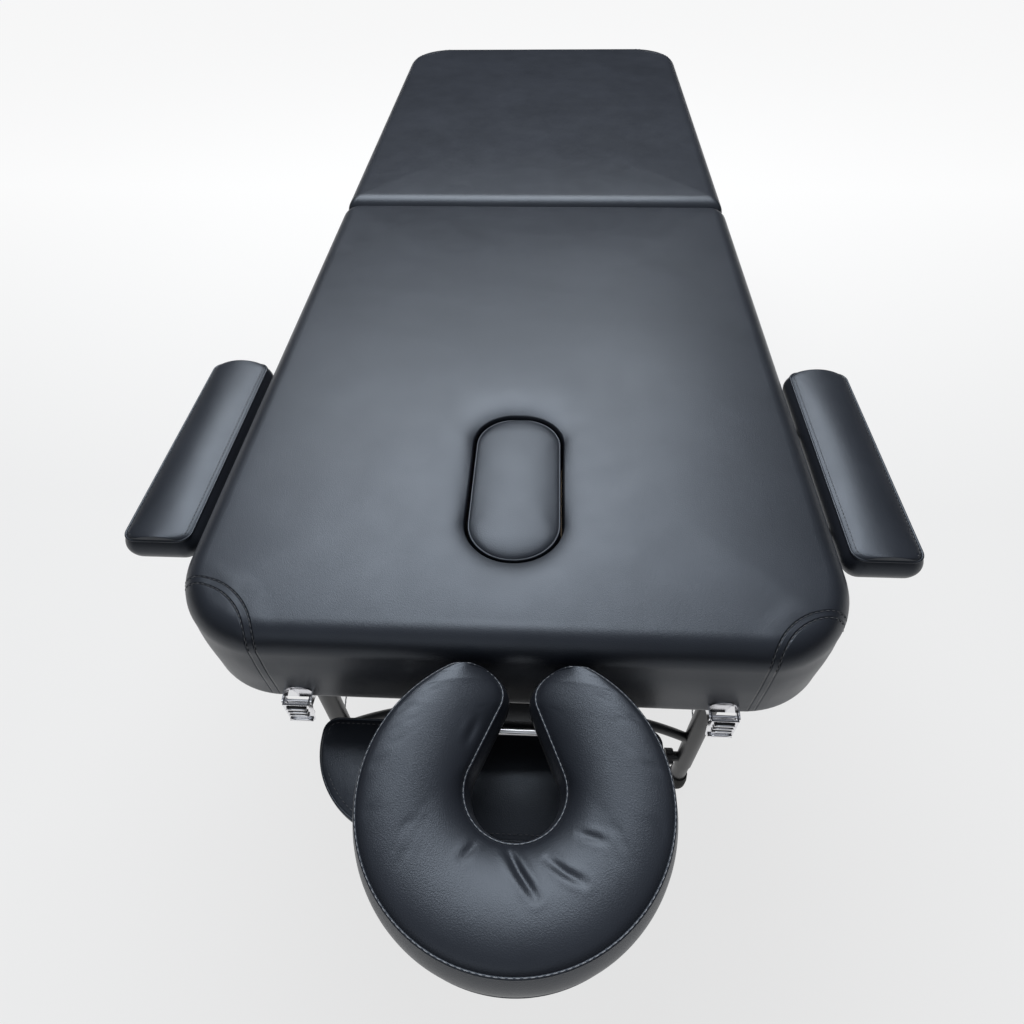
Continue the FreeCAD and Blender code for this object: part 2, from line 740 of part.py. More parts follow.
def make_armrest(side, sign):
    """The pad and its carrier on one side."""
    name = f"{side}_armrest"
    body = put(new_body(name + "_pad_body"), f"{sign} * armrest_x",
               "hinge_y - armrest_row", "armrest_z")
    wide = f"{sign} * armrest_wide"
    section = draw(new_sketch(body, name + "_section", "XZ"), [
        ("0", "0"), (f"{wide} - {sign} * armrest_bevel", "0"), (wide, "armrest_bevel"),
        (wide, "armrest_high"), ("0", "armrest_high")][::sign])
    feature(body, "Pad", name + "_bar", section, "armrest_long", both=True)
    soften(body, name + "_corners", "armrest_round",
           lambda edge: edge.BoundBox.ZLength > value("armrest_bevel") * 1.5
           and edge.BoundBox.XLength < 1e-4)
    soften(body, name + "_top", "armrest_round - 1", at_height("armrest_high"))
    keep(body, name + "_pad")
    middle = "hinge_y - armrest_row"
    across = sorted((f"{sign} * (armrest_x + armrest_round)",
                     f"{sign} * (armrest_x + armrest_wide - armrest_round)"), key=value)
    plate = block(name + "_plate", across,
                  (f"{middle} - armrest_long / 2 + armrest_round * 2",
                   f"{middle} + armrest_long / 2 - armrest_round * 2"),
                  ("armrest_z - armrest_plate", "armrest_z"))
    pieces = [plate]
    elbow = f"{sign} * (armrest_x + armrest_wide / 3)"
    inner = f"{sign} * (inside_x - peg_inside)"
    for n in (-1, 1):
        y = f"{middle} + {n} * peg_pitch / 2"
        pieces.append(rod(f"{name}_peg_{n}", "x", *sorted((inner, elbow), key=value),
                          (y, "peg_z"), "peg_width"))
        ball = doc.addObject("Part::Sphere", f"{name}_elbow_{n}")
        bind(ball, Radius="peg_width / 2")
        pieces.append(put(ball, elbow, y, "peg_z"))
        pieces.append(rod(f"{name}_riser_{n}", "z", "peg_z",
                          "armrest_z - armrest_plate / 2", (elbow, y), "peg_width"))
    keep(join(name + "_carrier_whole", *pieces), name + "_carrier")


make_armrest("left", -1)
make_armrest("right", 1)


# Face cradle: all of it is drawn outward from the middle of the head end

HALF_TURN = Rotation(Vector(0, 0, 1), 180)


def cradle_body(name, x="0", z="table_height"):
    """A body whose Y runs outward from the head end."""
    return put(new_body(name), x, "end_y", z, HALF_TURN)


def out_from_end(text):
    """The Y of a point that lies so far out from the head end."""
    return f"end_y - ({text})"


def make_bushing(n):
    """A flanged sleeve in the end rail for one post."""
    name = f"bushing_{n}"
    centre = (f"{n} * post_pitch / 2", "post_z")
    sleeve = rod(name + "_sleeve", "y", "end_y + vinyl", "end_y + vinyl + bush_long", centre,
                 "post_width + 2 * bush_wall")
    flange = rod(name + "_flange", "y", "end_y - 1", "end_y + vinyl", centre,
                 "post_width + 2 * bush_wall + 2 * bush_flange")
    bore = rod(name + "_bore", "y", "end_y - 2", "end_y + 2 * bush_long", centre,
               "post_width + 2 * run_fit")
    return cut(name, join(name + "_whole", sleeve, flange), bore)


keep(join("bushings", make_bushing(-1), make_bushing(1)), "accessory_bushings")


def make_cheek(name, sign):
    """An end plate of the crossbar, drawn down to the stud that carries the sling."""
    body = cradle_body(name, x=f"{sign} * (bar_long / 2 - cheek_thick / 2)")
    top, low = "-post_below + bar_high / 2", "-post_below - bar_high / 2"
    back = "stud_width"
    nose = f"({back} + 1)"
    high_x, high_z = f"stud_out + {nose} * 0.7071", f"-stud_below + {nose} * 0.7071"
    low_x, low_z = f"stud_out - {nose} * 0.7071", f"-stud_below - {nose} * 0.7071"
    plate = draw(new_sketch(body, name + "_plate", "YZ"), [
        ("bar_from_end", top),
        ("bar_from_end", low),
        ("arm_rod_from_end", low),
        (low_x, low_z, ("stud_out", "-stud_below", 1)),
        (high_x, high_z),
        ("arm_rod_from_end + cradle_rod", top),
    ])
    feature(body, "Pad", name + "_pad", plate, "cheek_thick", both=True)
    bore = draw_circle(new_sketch(body, name + "_bore", "YZ"), "arm_rod_from_end",
                       "-post_below", "cradle_rod + 2 * run_fit")
    cut_into(body, "Pocket", name + "_hole", bore, "4 * cheek_thick", both=True)
    return body


def make_stud(sign):
    """The headed stud on the outside of a cheek."""
    start, end = "bar_long / 2 - 1", "bar_long / 2 + strap_wide + 6"
    centre = (out_from_end("stud_out"), "table_height - stud_below")
    shank = rod(f"stud_{sign}", "x", *sorted((f"{sign} * ({start})", f"{sign} * ({end})"),
                                             key=value), centre, "stud_width")
    head = rod(f"stud_head_{sign}", "x", *sorted((f"{sign} * ({end} - 3)", f"{sign} * ({end})"),
                                                 key=value), centre, "stud_width + 6")
    return [shank, head]


posts = [rod(f"post_{n}", "y", out_from_end("bar_from_end + 1"), "end_y + post_inside",
             (f"{n} * post_pitch / 2", "post_z"), "post_width") for n in (-1, 1)]
crossbar = block("crossbar", ("-bar_long / 2", "bar_long / 2"),
                 (out_from_end("bar_from_end + bar_deep"), out_from_end("bar_from_end")),
                 ("post_z - bar_high / 2", "post_z + bar_high / 2"))
rod_notch = rod("rod_notch", "x", "-bar_long", "bar_long",
                (out_from_end("arm_rod_from_end"), "post_z"), "cradle_rod + 2 * run_fit")
arm_notches = [block(f"arm_notch_{n}",
                     tuple(sorted((f"{n} * (arm_x - arm_side_gap)",
                                   f"{n} * (bar_long / 2 - cheek_thick)"), key=value)),
                     (out_from_end("bar_from_end + bar_deep + 1"),
                      out_from_end("bar_from_end + bar_deep - 8")),
                     ("post_z - bar_high", "post_z + bar_high")) for n in (-1, 1)]
base = join("cradle_base_whole", crossbar, *posts, make_cheek("left_cheek", -1),
            make_cheek("right_cheek", 1), *make_stud(-1), *make_stud(1))
keep(cut("cradle_base_cut", base, rod_notch, *arm_notches), "cradle_base")


def make_arm(name, sign):
    """A flat arm with round ends, from the lower rod to the tilt rod."""
    body = cradle_body(name, x=f"{sign} * (arm_x + arm_thick / 2)")
    half = "arm_high / 2"
    near, far = "arm_rod_from_end", "tilt_rod_from_end"
    low, high = "-post_below", "-tilt_rod_below"
    plate = draw(new_sketch(body, name + "_plate", "YZ"), [
        (near, f"{low} + {half}", (near, low, 1)),
        (near, f"{low} - {half}"),
        (far, f"{high} - {half}", (far, high, 1)),
        (far, f"{high} + {half}"),
    ])
    feature(body, "Pad", name + "_pad", plate, "arm_thick", both=True)
    bores = new_sketch(body, name + "_bores", "YZ")
    draw_circle(bores, near, low, "cradle_rod + 2 * run_fit")
    draw_circle(bores, far, high, "cradle_rod + 2 * run_fit")
    cut_into(body, "Pocket", name + "_holes", bores, "4 * arm_thick", both=True)
    return body


keep(join("arms", make_arm("left_arm", -1), make_arm("right_arm", 1)), "cradle_arms")


def make_rod(label, out, below, face):
    """A clamp rod: a nut at the left, and at the right an eye with the pin of its lever."""
    y, z = out_from_end(out), f"table_height - {below}"
    head = f"{face} + lever_head / 2 + 1.5"
    shank = rod(label + "_shank", "x", f"-({face}) - 6", head, (y, z), "cradle_rod")
    nut = doc.addObject("Part::Prism", label + "_nut")
    nut.Polygon = 6
    bind(nut, Circumradius="cradle_rod", Height="5")
    put(nut, f"-({face}) - 5 - clearance", y, z, TURNS["x"])
    pin = rod(label + "_pin", "z", f"{z} - lever_high / 2", f"{z} + lever_high / 2", (head, y),
              "lever_pin")
    eye = rod(label + "_eye", "z", f"{z} - cradle_rod / 3", f"{z} + cradle_rod / 3", (head, y),
              "cradle_rod + 2")
    keep(join(label + "_whole", shank, nut, pin, eye), label)


def make_lever(label, out, below, face, turn):
    """A cam lever: a slotted round head on the rod's pin, and a handle that tapers. The turn
    points the handle out from the table or in towards it."""
    body = put(new_body(label + "_body"), f"{face} + lever_head / 2 + 1.5", out_from_end(out),
               f"table_height - {below}", turn)
    plan = draw(new_sketch(body, label + "_plan", "XY"), [
        ("lever_head / 2", "0", ("0", "0", -1)),
        ("-lever_head / 2", "0"),
        ("-lever_head / 2 - 1", "lever_long - 4"),
        ("-lever_head / 2 + 3", "lever_long"),
        ("0", "lever_head"),
    ])
    plan_pad = feature(body, "Pad", label + "_pad", plan, "lever_high", both=True)
    slot = draw(new_sketch(body, label + "_slot", "XY"), [
        ("-lever_head", "-lever_head"), ("lever_head", "-lever_head"),
        ("lever_head", "lever_head / 2 + 1"), ("-lever_head", "lever_head / 2 + 1")])
    cut_into(body, "Pocket", label + "_slot_cut", slot, "cradle_rod + 2 * clearance", both=True)
    bore = draw_circle(new_sketch(body, label + "_bore", "XY"), "0", "0",
                       "lever_pin + 2 * run_fit")
    cut_into(body, "Pocket", label + "_hole", bore, "2 * lever_high", both=True)
    keep(body, label)


ROD_A = ("arm_rod_from_end", "post_below", "bar_long / 2")
ROD_B = ("tilt_rod_from_end", "tilt_rod_below", "(arm_x + arm_thick)")
make_rod("arm_rod", *ROD_A)
make_rod("tilt_rod", *ROD_B)
make_lever("arm_lever", *ROD_A, HALF_TURN)
make_lever("tilt_lever", *ROD_B, Rotation(Vector(0, 1, 0), 180))


def horseshoe(inset):
    """The plan of the face cushion or its plate: most of a circle, cut off near the panel."""
    back = f"(face_from_end + {inset})"
    half = f"sqrt((face_radius - {inset}) ^ 2 - (face_hub - {back}) ^ 2)"
    return [(f"-{half}", back), (half, back, ("0", "face_hub", 1))]


def cut_opening(body, name, grown, thick):
    """The face opening: a round hole and the throat that leads to it between two lobes."""
    hole = draw_circle(new_sketch(body, name + "_hole_plan", "XY"), "0", "opening_from_end",
                       f"face_opening + 2 * {grown}")
    cut_into(body, "Pocket", name + "_hole", hole, thick, back=True)
    half = f"(throat_width / 2 + {grown})"
    wide = f"(face_opening / 2 + {grown}) * 0.97"
    mouth, back, neck = f"({half} + throat_flare)", "face_from_end", (
        "face_from_end + throat_flare")
    belly = "opening_from_end - face_opening / 8"
    throat = draw(new_sketch(body, name + "_throat_plan", "XY"), [
        (f"-{mouth}", "0"), (mouth, "0"),
        (mouth, back, (mouth, neck, -1)),
        (half, neck),
        (wide, belly), (f"-{wide}", belly),
        (f"-{half}", neck, (f"-{mouth}", neck, -1)),
        (f"-{mouth}", back),
    ])
    cut_into(body, "Pocket", name + "_throat", throat, thick, back=True)


face = cradle_body("face_cushion_body", x="face_aside", z="face_z")
face_plan = draw(new_sketch(face, "face_plan", "XY"), horseshoe("0"))
feature(face, "Pad", "face_pad", face_plan, "face_thick")
soften(face, "face_corners", "face_corner",
       lambda edge: edge.BoundBox.ZLength > value("face_thick") / 2)
soften(face, "face_rim", "face_round", at_height("face_thick"))
cut_opening(face, "face", "0", "face_thick")
keep(face, "face_cushion")

platform = cradle_body("platform_body", x="face_aside", z="platform_z")
platform_plan = draw(new_sketch(platform, "platform_plan", "XY"), horseshoe("platform_inset"))
feature(platform, "Pad", "platform_pad", platform_plan, "platform_thick")
cut_opening(platform, "platform", "3", "platform_thick")


def make_lug(name, sign):
    """A lug under the platform, bored for the tilt rod."""
    body = cradle_body(name, x=f"{sign} * (lug_x + arm_thick / 2)")
    out, low = "tilt_rod_from_end", "-tilt_rod_below"
    top = "platform_z - table_height"
    half = "arm_high / 2"
    plate = draw(new_sketch(body, name + "_plate", "YZ"), [
        (f"{out} + arm_high", top),
        (f"{out} - arm_high", top),
        (f"{out} - {half}", low, (out, low, 1)),
        (f"{out} + {half}", low),
    ])
    feature(body, "Pad", name + "_pad", plate, "arm_thick", both=True)
    bore = draw_circle(new_sketch(body, name + "_bore", "YZ"), out, low,
                       "cradle_rod + 2 * run_fit")
    cut_into(body, "Pocket", name + "_hole", bore, "4 * arm_thick", both=True)
    return body


keep(join("platform_whole", platform, make_lug("left_lug", -1), make_lug("right_lug", 1)),
     "face_platform")

# Arm sling: a padded board on two webbing straps that turn on the studs of the cradle base
sling = cradle_body("sling_body", x="-sling_aside", z="table_height - sling_below - sling_thick")
sling_plan = draw(new_sketch(sling, "sling_plan", "XY"), rounded(
    "-sling_long / 2", "sling_long / 2", "sling_from_end", "sling_from_end + sling_wide",
    "sling_corner", "sling_wide - sling_corner - 4"))
feature(sling, "Pad", "sling_pad", sling_plan, "sling_thick")
soften(sling, "sling_top", "sling_thick / 3", at_height("sling_thick"))
soften(sling, "sling_bottom", "sling_thick / 3", at_height("0"))
keep(sling, "arm_sling")


def make_strap(sign):
    """A webbing strap: an eye round the stud and two legs down to patches on the board."""
    name = f"strap_{sign}"
    x = sorted((f"{sign} * (bar_long / 2 + 1.5)", f"{sign} * (bar_long / 2 + 1.5 + strap_wide)"),
               key=value)
    middle = f"{sign} * (bar_long / 2 + 1.5 + strap_wide / 2)"
    body = cradle_body(name + "_web", x=middle)
    drop = "(-sling_below)"
    hub = "(-stud_below)"
    eye = "(stud_width / 2 + clearance + strap_thick)"
    foot = "(sling_wide / 2 - strap_wide / 2)"
    patch = "strap_wide"
    web = draw(new_sketch(body, name + "_profile", "YZ"), [
        (f"stud_out + {eye}", hub, ("stud_out", hub, 1)),
        (f"stud_out - {eye}", hub),
        (f"stud_out - {foot} + {patch} / 2", f"{drop} + strap_thick"),
        (f"stud_out - {foot} - {patch} / 2", f"{drop} + strap_thick"),
        (f"stud_out - {foot} - {patch} / 2", drop),
        (f"stud_out + {foot} + {patch} / 2", drop),
        (f"stud_out + {foot} + {patch} / 2", f"{drop} + strap_thick"),
        (f"stud_out + {foot} - {patch} / 2", f"{drop} + strap_thick"),
    ])
    feature(body, "Pad", name + "_pad", web, "strap_wide", both=True)
    eye_bore = draw_circle(new_sketch(body, name + "_eye", "YZ"), "stud_out", hub,
                           "stud_width + 2 * clearance")
    cut_into(body, "Pocket", name + "_eye_cut", eye_bore, "2 * strap_wide", both=True)
    inner = draw(new_sketch(body, name + "_inner", "YZ"), [
        (f"stud_out - strap_thick", f"{hub} - {eye} - 1"),
        (f"stud_out - {foot} + {patch} / 2 + 2 * strap_thick", f"{drop} + strap_thick"),
        (f"stud_out + {foot} - {patch} / 2 - 2 * strap_thick", f"{drop} + strap_thick"),
        (f"stud_out + strap_thick", f"{hub} - {eye} - 1"),
    ])
    cut_into(body, "Pocket", name + "_inner_cut", inner, "2 * strap_wide", both=True)
    return body


keep(join("straps", make_strap(-1), make_strap(1)), "sling_straps")


# Draw latches on the head end, and their catches on the foot end

def latch_body(name, sign, out="latch_pivot_out"):
    """A body about a latch pivot, with its Y outward from the head end."""
    return put(new_body(name), f"{sign} * latch_x", out_from_end(out), "latch_z", HALF_TURN)


def make_latch_base(side, sign):
    """The riveted plate of a latch, round above, with the two ears and the pin of its lever."""
    name = f"{side}_latch_base"
    body = latch_body(name + "_body", sign)
    out = "latch_pivot_out"
    half = "latch_wide / 2"
    low = "1 - latch_pivot_up"
    spring = f"{low} + latch_high - {half}"
    plate = draw(new_sketch(body, name + "_plan", "XZ", f"{out} + vinyl - latch_plate"), [
        (f"-{half}", low),
        (half, low),
        (half, spring, ("0", spring, 1)),
        (f"-{half}", spring),
    ])
    feature(body, "Pad", name + "_plate", plate, "latch_plate")
    for word, n in (("a", -1), ("b", 1)):
        centre = f"{n} * (latch_wide / 2 - sheet_thick / 2)"
        ear = draw(new_sketch(body, f"{name}_ear_{word}", "YZ", centre), [
            (f"-{out} - vinyl + latch_plate / 2", "latch_pin * 2"),
            (f"-{out} - vinyl + latch_plate / 2", "-latch_pin * 2"),
            ("0", "-latch_pin * 1.5", ("0", "0", 1)),
            ("0", "latch_pin * 1.5"),
        ])
        feature(body, "Pad", f"{name}_ear_pad_{word}", ear, "sheet_thick", both=True)
    pin = draw_circle(new_sketch(body, name + "_pin", "YZ"), "0", "0", "latch_pin")
    feature(body, "Pad", name + "_pin_pad", pin, "latch_wide", both=True)
    return body


def make_latch_lever(side, sign):
    """The pressed lever of a latch: a channel that hangs from the pin, with the claw's pin."""
    name = f"{side}_latch_lever"
    body = latch_body(name + "_body", sign)
    inside = "latch_wide - 2 * sheet_thick - 1"
    plate_out = "latch_pin * 2 + sheet_thick"
    side_plate = draw(new_sketch(body, name + "_sides", "YZ"), [
        ("-latch_pin", "latch_pin * 1.4"),
        ("-latch_pin", "-latch_pin"),
        ("0", "-latch_pivot_up"),
        ("latch_pin * 2", "-latch_lever"),
        (plate_out, "-latch_lever"),
        (plate_out, "latch_pin * 1.4"),
    ])
    feature(body, "Pad", name + "_pad", side_plate, inside, both=True)
    channel = draw(new_sketch(body, name + "_channel", "YZ"), [
        ("-latch_pin * 3", "latch_pin * 3"),
        ("-latch_pin * 3", "-latch_lever - 1"),
        ("latch_pin * 2", "-latch_lever - 1"),
        ("latch_pin * 2", "latch_pin * 3"),
    ])
    cut_into(body, "Pocket", name + "_channel_cut", channel,
             f"{inside} - 2 * sheet_thick", both=True)
    bore = draw_circle(new_sketch(body, name + "_bore", "YZ"), "0", "0",
                       "latch_pin + 2 * run_fit")
    cut_into(body, "Pocket", name + "_hole", bore, "2 * latch_wide", both=True)
    pin = draw_circle(new_sketch(body, name + "_claw_pin", "YZ"), "latch_pin * 0.7",
                      "-latch_pivot_up * 0.7", "latch_pin * 0.8")
    feature(body, "Pad", name + "_claw_pin_pad", pin, inside, both=True)
    keep(body, name)


def make_latch_claw(side, sign):
    """The claw: a strip that hangs from the lever's second pin and ends in a hook."""
    name = f"{side}_latch_claw"
    body = latch_body(name + "_body", sign)
    y, z = "latch_pin * 0.7", "-latch_pivot_up * 0.7"
    half = "sheet_thick / 2"
    tip = f"{z} - latch_claw"
    strip = draw(new_sketch(body, name + "_strip", "YZ"), [
        (f"{y} - {half}", z),
        (f"{y} - {half}", f"{tip} + sheet_thick"),
        (f"{y} - latch_pin", f"{tip} + sheet_thick"),
        (f"{y} - latch_pin", f"{tip} + 3 * sheet_thick"),
        (f"{y} - latch_pin - sheet_thick", f"{tip} + 3 * sheet_thick"),
        (f"{y} - latch_pin - sheet_thick", tip),
        (f"{y} + {half}", tip),
        (f"{y} + {half}", z),
    ])
    width = "latch_wide - 4 * sheet_thick - 4"
    feature(body, "Pad", name + "_pad", strip, width, both=True)
    barrel = draw_circle(new_sketch(body, name + "_barrel", "YZ"), y, z, "latch_pin * 1.8")
    feature(body, "Pad", name + "_barrel_pad", barrel, width, both=True)
    bore = draw_circle(new_sketch(body, name + "_bore", "YZ"), y, z,
                       "latch_pin * 0.8 + 2 * run_fit")
    cut_into(body, "Pocket", name + "_hole", bore, "2 * latch_wide", both=True)
    keep(body, name)


def make_catch(sign):
    """A catch on the foot end: a plate with an upturned lip."""
    name = f"catch_{sign}"
    body = put(new_body(name), f"{sign} * latch_x", "hinge_y + frame_end", "latch_z + 8")
    reach = "catch_proud + vinyl"
    profile = draw(new_sketch(body, name + "_profile", "YZ"), [
        ("0", "10"), ("0", "-14"),
        (reach, "-14"), (reach, "-6"),
        (f"{reach} - sheet_thick", "-6"), (f"{reach} - sheet_thick", "-14 + sheet_thick"),
        ("latch_plate", "-14 + sheet_thick"), ("latch_plate", "10"),
    ])
    feature(body, "Pad", name + "_pad", profile, "latch_wide", both=True)
    return body


SIDES = (("left", -1), ("right", 1))
keep(join("latch_bases", *[make_latch_base(*side) for side in SIDES]), "latch_bases")
for latch_side in SIDES:
    make_latch_lever(*latch_side)
    make_latch_claw(*latch_side)
keep(join("catches", make_catch(-1), make_catch(1)), "latch_catches")


# Carrying handles: a webbing strap on the right of each panel, bowed between its sewn ends

def make_handle(word, side):
    """One handle, drawn in plan and padded to the width of the webbing."""
    name = word + "_handle"
    body = put(new_body(name + "_body"), "frame_x + clearance",
               f"hinge_y + {side} * handle_from_hinge", "rail_z + rail_depth / 2")
    half, foot, slope = "handle_long / 2", "handle_long / 6", "handle_long / 8"
    thick, bow = "handle_thick", "handle_bow"
    plan = draw(new_sketch(body, name + "_plan", "XY"), [
        ("0", f"-{half}"), (thick, f"-{half}"), (thick, f"-{half} + {foot}"),
        (f"{thick} + {bow}", f"-{half} + {foot} + {slope}"),
        (f"{thick} + {bow}", f"{half} - {foot} - {slope}"),
        (thick, f"{half} - {foot}"), (thick, half), ("0", half),
        ("0", f"{half} - {foot} - {thick} / 2"),
        (bow, f"{half} - {foot} - {slope} - {thick} / 2"),
        (bow, f"-{half} + {foot} + {slope} + {thick} / 2"),
        ("0", f"-{half} + {foot} + {thick} / 2"),
    ])
    feature(body, "Pad", name + "_pad", plan, "handle_wide", both=True)
    keep(body, name)


make_handle("head", -1)
make_handle("foot", 1)

# Every object must have come out whole before anything is written
doc.recompute()
for thing in doc.Objects:
    if {"Invalid", "Error"} & set(thing.State):
        raise RuntimeError(f"{thing.Name} failed: {thing.State}")
broken = [part.Label for part in parts
          if part.Shape.isNull() or not part.Shape.isValid() or not part.Shape.Solids]
if broken:
    raise RuntimeError(f"no valid solid in {broken}")
os.makedirs("parts", exist_ok=True)
for part in parts:
    part.Shape.exportStep(f"parts/{part.Label}.step")
print(f"{len(parts)} sub-parts written")
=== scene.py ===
import math

import bmesh
import bpy
import numpy as np
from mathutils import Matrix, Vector, noise
from mathutils.bvhtree import BVHTree


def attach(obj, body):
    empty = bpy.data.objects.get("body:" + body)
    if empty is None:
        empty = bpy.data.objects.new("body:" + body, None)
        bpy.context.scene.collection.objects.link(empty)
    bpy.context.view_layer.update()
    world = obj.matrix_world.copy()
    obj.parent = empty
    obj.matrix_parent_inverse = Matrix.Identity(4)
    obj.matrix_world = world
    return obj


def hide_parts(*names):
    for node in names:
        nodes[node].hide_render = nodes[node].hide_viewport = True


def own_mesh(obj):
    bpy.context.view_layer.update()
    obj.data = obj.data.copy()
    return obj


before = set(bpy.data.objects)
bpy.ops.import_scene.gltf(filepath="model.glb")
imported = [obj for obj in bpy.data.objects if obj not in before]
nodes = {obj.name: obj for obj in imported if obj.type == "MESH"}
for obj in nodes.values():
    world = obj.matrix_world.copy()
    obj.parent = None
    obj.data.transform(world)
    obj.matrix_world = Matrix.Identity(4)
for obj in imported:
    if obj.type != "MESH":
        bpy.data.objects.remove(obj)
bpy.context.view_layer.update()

# The studio: a pale sweep underfoot, one broad soft lamp beyond the table, and a dark surround
# that turns bright overhead, so that the black vinyl is lit by its own soft shine.
scene = bpy.context.scene
camera = bpy.data.objects.new("camera", bpy.data.cameras.new("camera"))
scene.collection.objects.link(camera)
scene.camera = camera
camera.data.sensor_width = 36
camera.data.lens = 23.87
camera.location = (0.03, -1.1182, 1.1845)
camera.rotation_euler = [math.radians(a) for a in (41.01, 0.92, 2.73)]
scene.view_settings.view_transform = "Standard"

FLOOR_TONE = (0.12, 0.12, 0.12, 1)
SWEEP_NEAR = (0.735, 0.735, 0.735, 1)
SWEEP_FAR = (0.9, 0.9, 0.9, 1)
SURROUND_LOW = (0.012, 0.013, 0.016, 1)
SURROUND_HIGH = (0.4, 0.42, 0.46, 1)
FILL_TONE = (0.22, 0.23, 0.25, 1)


def wire(tree, start, end):
    """Links an output to an input; each is a node with the name or number of its socket."""
    tree.links.new(start[0].outputs[start[1]], end[0].inputs[end[1]])


def seen_directly(tree):
    """A number that is 1 for rays that come from the camera, a mirror or glass."""
    path = tree.nodes.new("ShaderNodeLightPath")
    total = None
    for word in ("Is Camera Ray", "Is Glossy Ray", "Is Transmission Ray"):
        if total is None:
            total = (path, word)
            continue
        step = tree.nodes.new("ShaderNodeMath")
        step.operation = "MAXIMUM"
        wire(tree, total, (step, 0))
        wire(tree, (path, word), (step, 1))
        total = (step, 0)
    return total


def ramp_between(tree, source, low, high, span):
    """A colour that runs from low to high as the source crosses the span."""
    ramp = tree.nodes.new("ShaderNodeValToRGB")
    for stop, colour, where in zip(ramp.color_ramp.elements, (low, high), span):
        stop.color = colour
        stop.position = where
    wire(tree, source, (ramp, 0))
    return ramp


world = bpy.data.worlds.new("studio")
scene.world = world
world.use_nodes = True
tree = world.node_tree
tree.nodes.clear()
place = tree.nodes.new("ShaderNodeTexCoord")
height = tree.nodes.new("ShaderNodeSeparateXYZ")
wire(tree, (place, "Generated"), (height, 0))
surround = ramp_between(tree, (height, "Z"), SURROUND_LOW, SURROUND_HIGH, (0.2, 0.95))
lit = tree.nodes.new("ShaderNodeMix")
lit.data_type = "RGBA"
lit.inputs[6].default_value = FILL_TONE
wire(tree, seen_directly(tree), (lit, 0))
wire(tree, (surround, 0), (lit, 7))
shown = tree.nodes.new("ShaderNodeMix")
shown.data_type = "RGBA"
shown.inputs[7].default_value = SWEEP_FAR
path = tree.nodes.new("ShaderNodeLightPath")
wire(tree, (path, "Is Camera Ray"), (shown, 0))
wire(tree, (lit, 2), (shown, 6))
sky = tree.nodes.new("ShaderNodeBackground")
wire(tree, (shown, 2), (sky, 0))
out = tree.nodes.new("ShaderNodeOutputWorld")
wire(tree, (sky, 0), (out, 0))

floor_mesh = bpy.data.meshes.new("floor")
corners = [(x, y, 0) for x, y in ((-14, -14), (14, -14), (14, 14), (-14, 14))]
floor_mesh.from_pydata(corners, [], [(0, 1, 2, 3)])
floor = bpy.data.objects.new("floor", floor_mesh)
scene.collection.objects.link(floor)
paint = bpy.data.materials.new("floor_paint")
paint.use_nodes = True
tree = paint.node_tree
tree.nodes.clear()
matt = tree.nodes.new("ShaderNodeBsdfDiffuse")
matt.inputs[0].default_value = FLOOR_TONE
place = tree.nodes.new("ShaderNodeTexCoord")
apart = tree.nodes.new("ShaderNodeSeparateXYZ")
wire(tree, (place, "Object"), (apart, 0))
reach = tree.nodes.new("ShaderNodeMapRange")
reach.inputs["From Min"].default_value = -1.4
reach.inputs["From Max"].default_value = 1.6
wire(tree, (apart, "Y"), (reach, 0))
sweep_tone = ramp_between(tree, (reach, 0), SWEEP_NEAR, SWEEP_FAR, (0.45, 1))
glow = tree.nodes.new("ShaderNodeEmission")
wire(tree, seen_directly(tree), (glow, "Strength"))
wire(tree, (sweep_tone, 0), (glow, 0))
both = tree.nodes.new("ShaderNodeAddShader")
wire(tree, (matt, 0), (both, 0))
wire(tree, (glow, 0), (both, 1))
out = tree.nodes.new("ShaderNodeOutputMaterial")
wire(tree, (both, 0), (out, 0))
floor_mesh.materials.append(paint)

for name, spot, aim, size, power in (
        ("key", (-0.22, 0.85, 2.6), (-0.02, -0.45, 0.6), (2.2, 1.7), 88),
        ("front", (-0.6, -2.7, 2.3), (0, -0.6, 0.5), (2.0, 1.2), 6)):
    lamp = bpy.data.objects.new(name, bpy.data.lights.new(name, "AREA"))
    scene.collection.objects.link(lamp)
    lamp.data.shape = "RECTANGLE"
    lamp.data.size, lamp.data.size_y = size
    lamp.data.energy = power
    lamp.data.color = (0.93, 0.97, 1.0)
    lamp.location = spot
    lamp.rotation_euler = (Vector(aim) - Vector(spot)).to_track_quat("-Z", "Y").to_euler()

# The wooden frames: eight beech rails dyed black, glued up round each panel, under a birch
# plywood deck. They carry over from the solids with the grain along each board.
LENGTHWAYS = {"x": (1, 14, 14), "y": (14, 1, 14)}


def new_material(name, colour, roughness, metallic=0.0, specular=0.5, coat=0.0, sheen=0.0):
    """A material whose constants sit on the shader's own sockets."""
    made = bpy.data.materials.new(name)
    made.use_nodes = True
    shader = made.node_tree.nodes["Principled BSDF"]
    shader.inputs["Base Color"].default_value = (*colour, 1)
    shader.inputs["Roughness"].default_value = roughness
    shader.inputs["Metallic"].default_value = metallic
    shader.inputs["Specular IOR Level"].default_value = specular
    shader.inputs["Coat Weight"].default_value = coat
    shader.inputs["Sheen Weight"].default_value = sheen
    return made


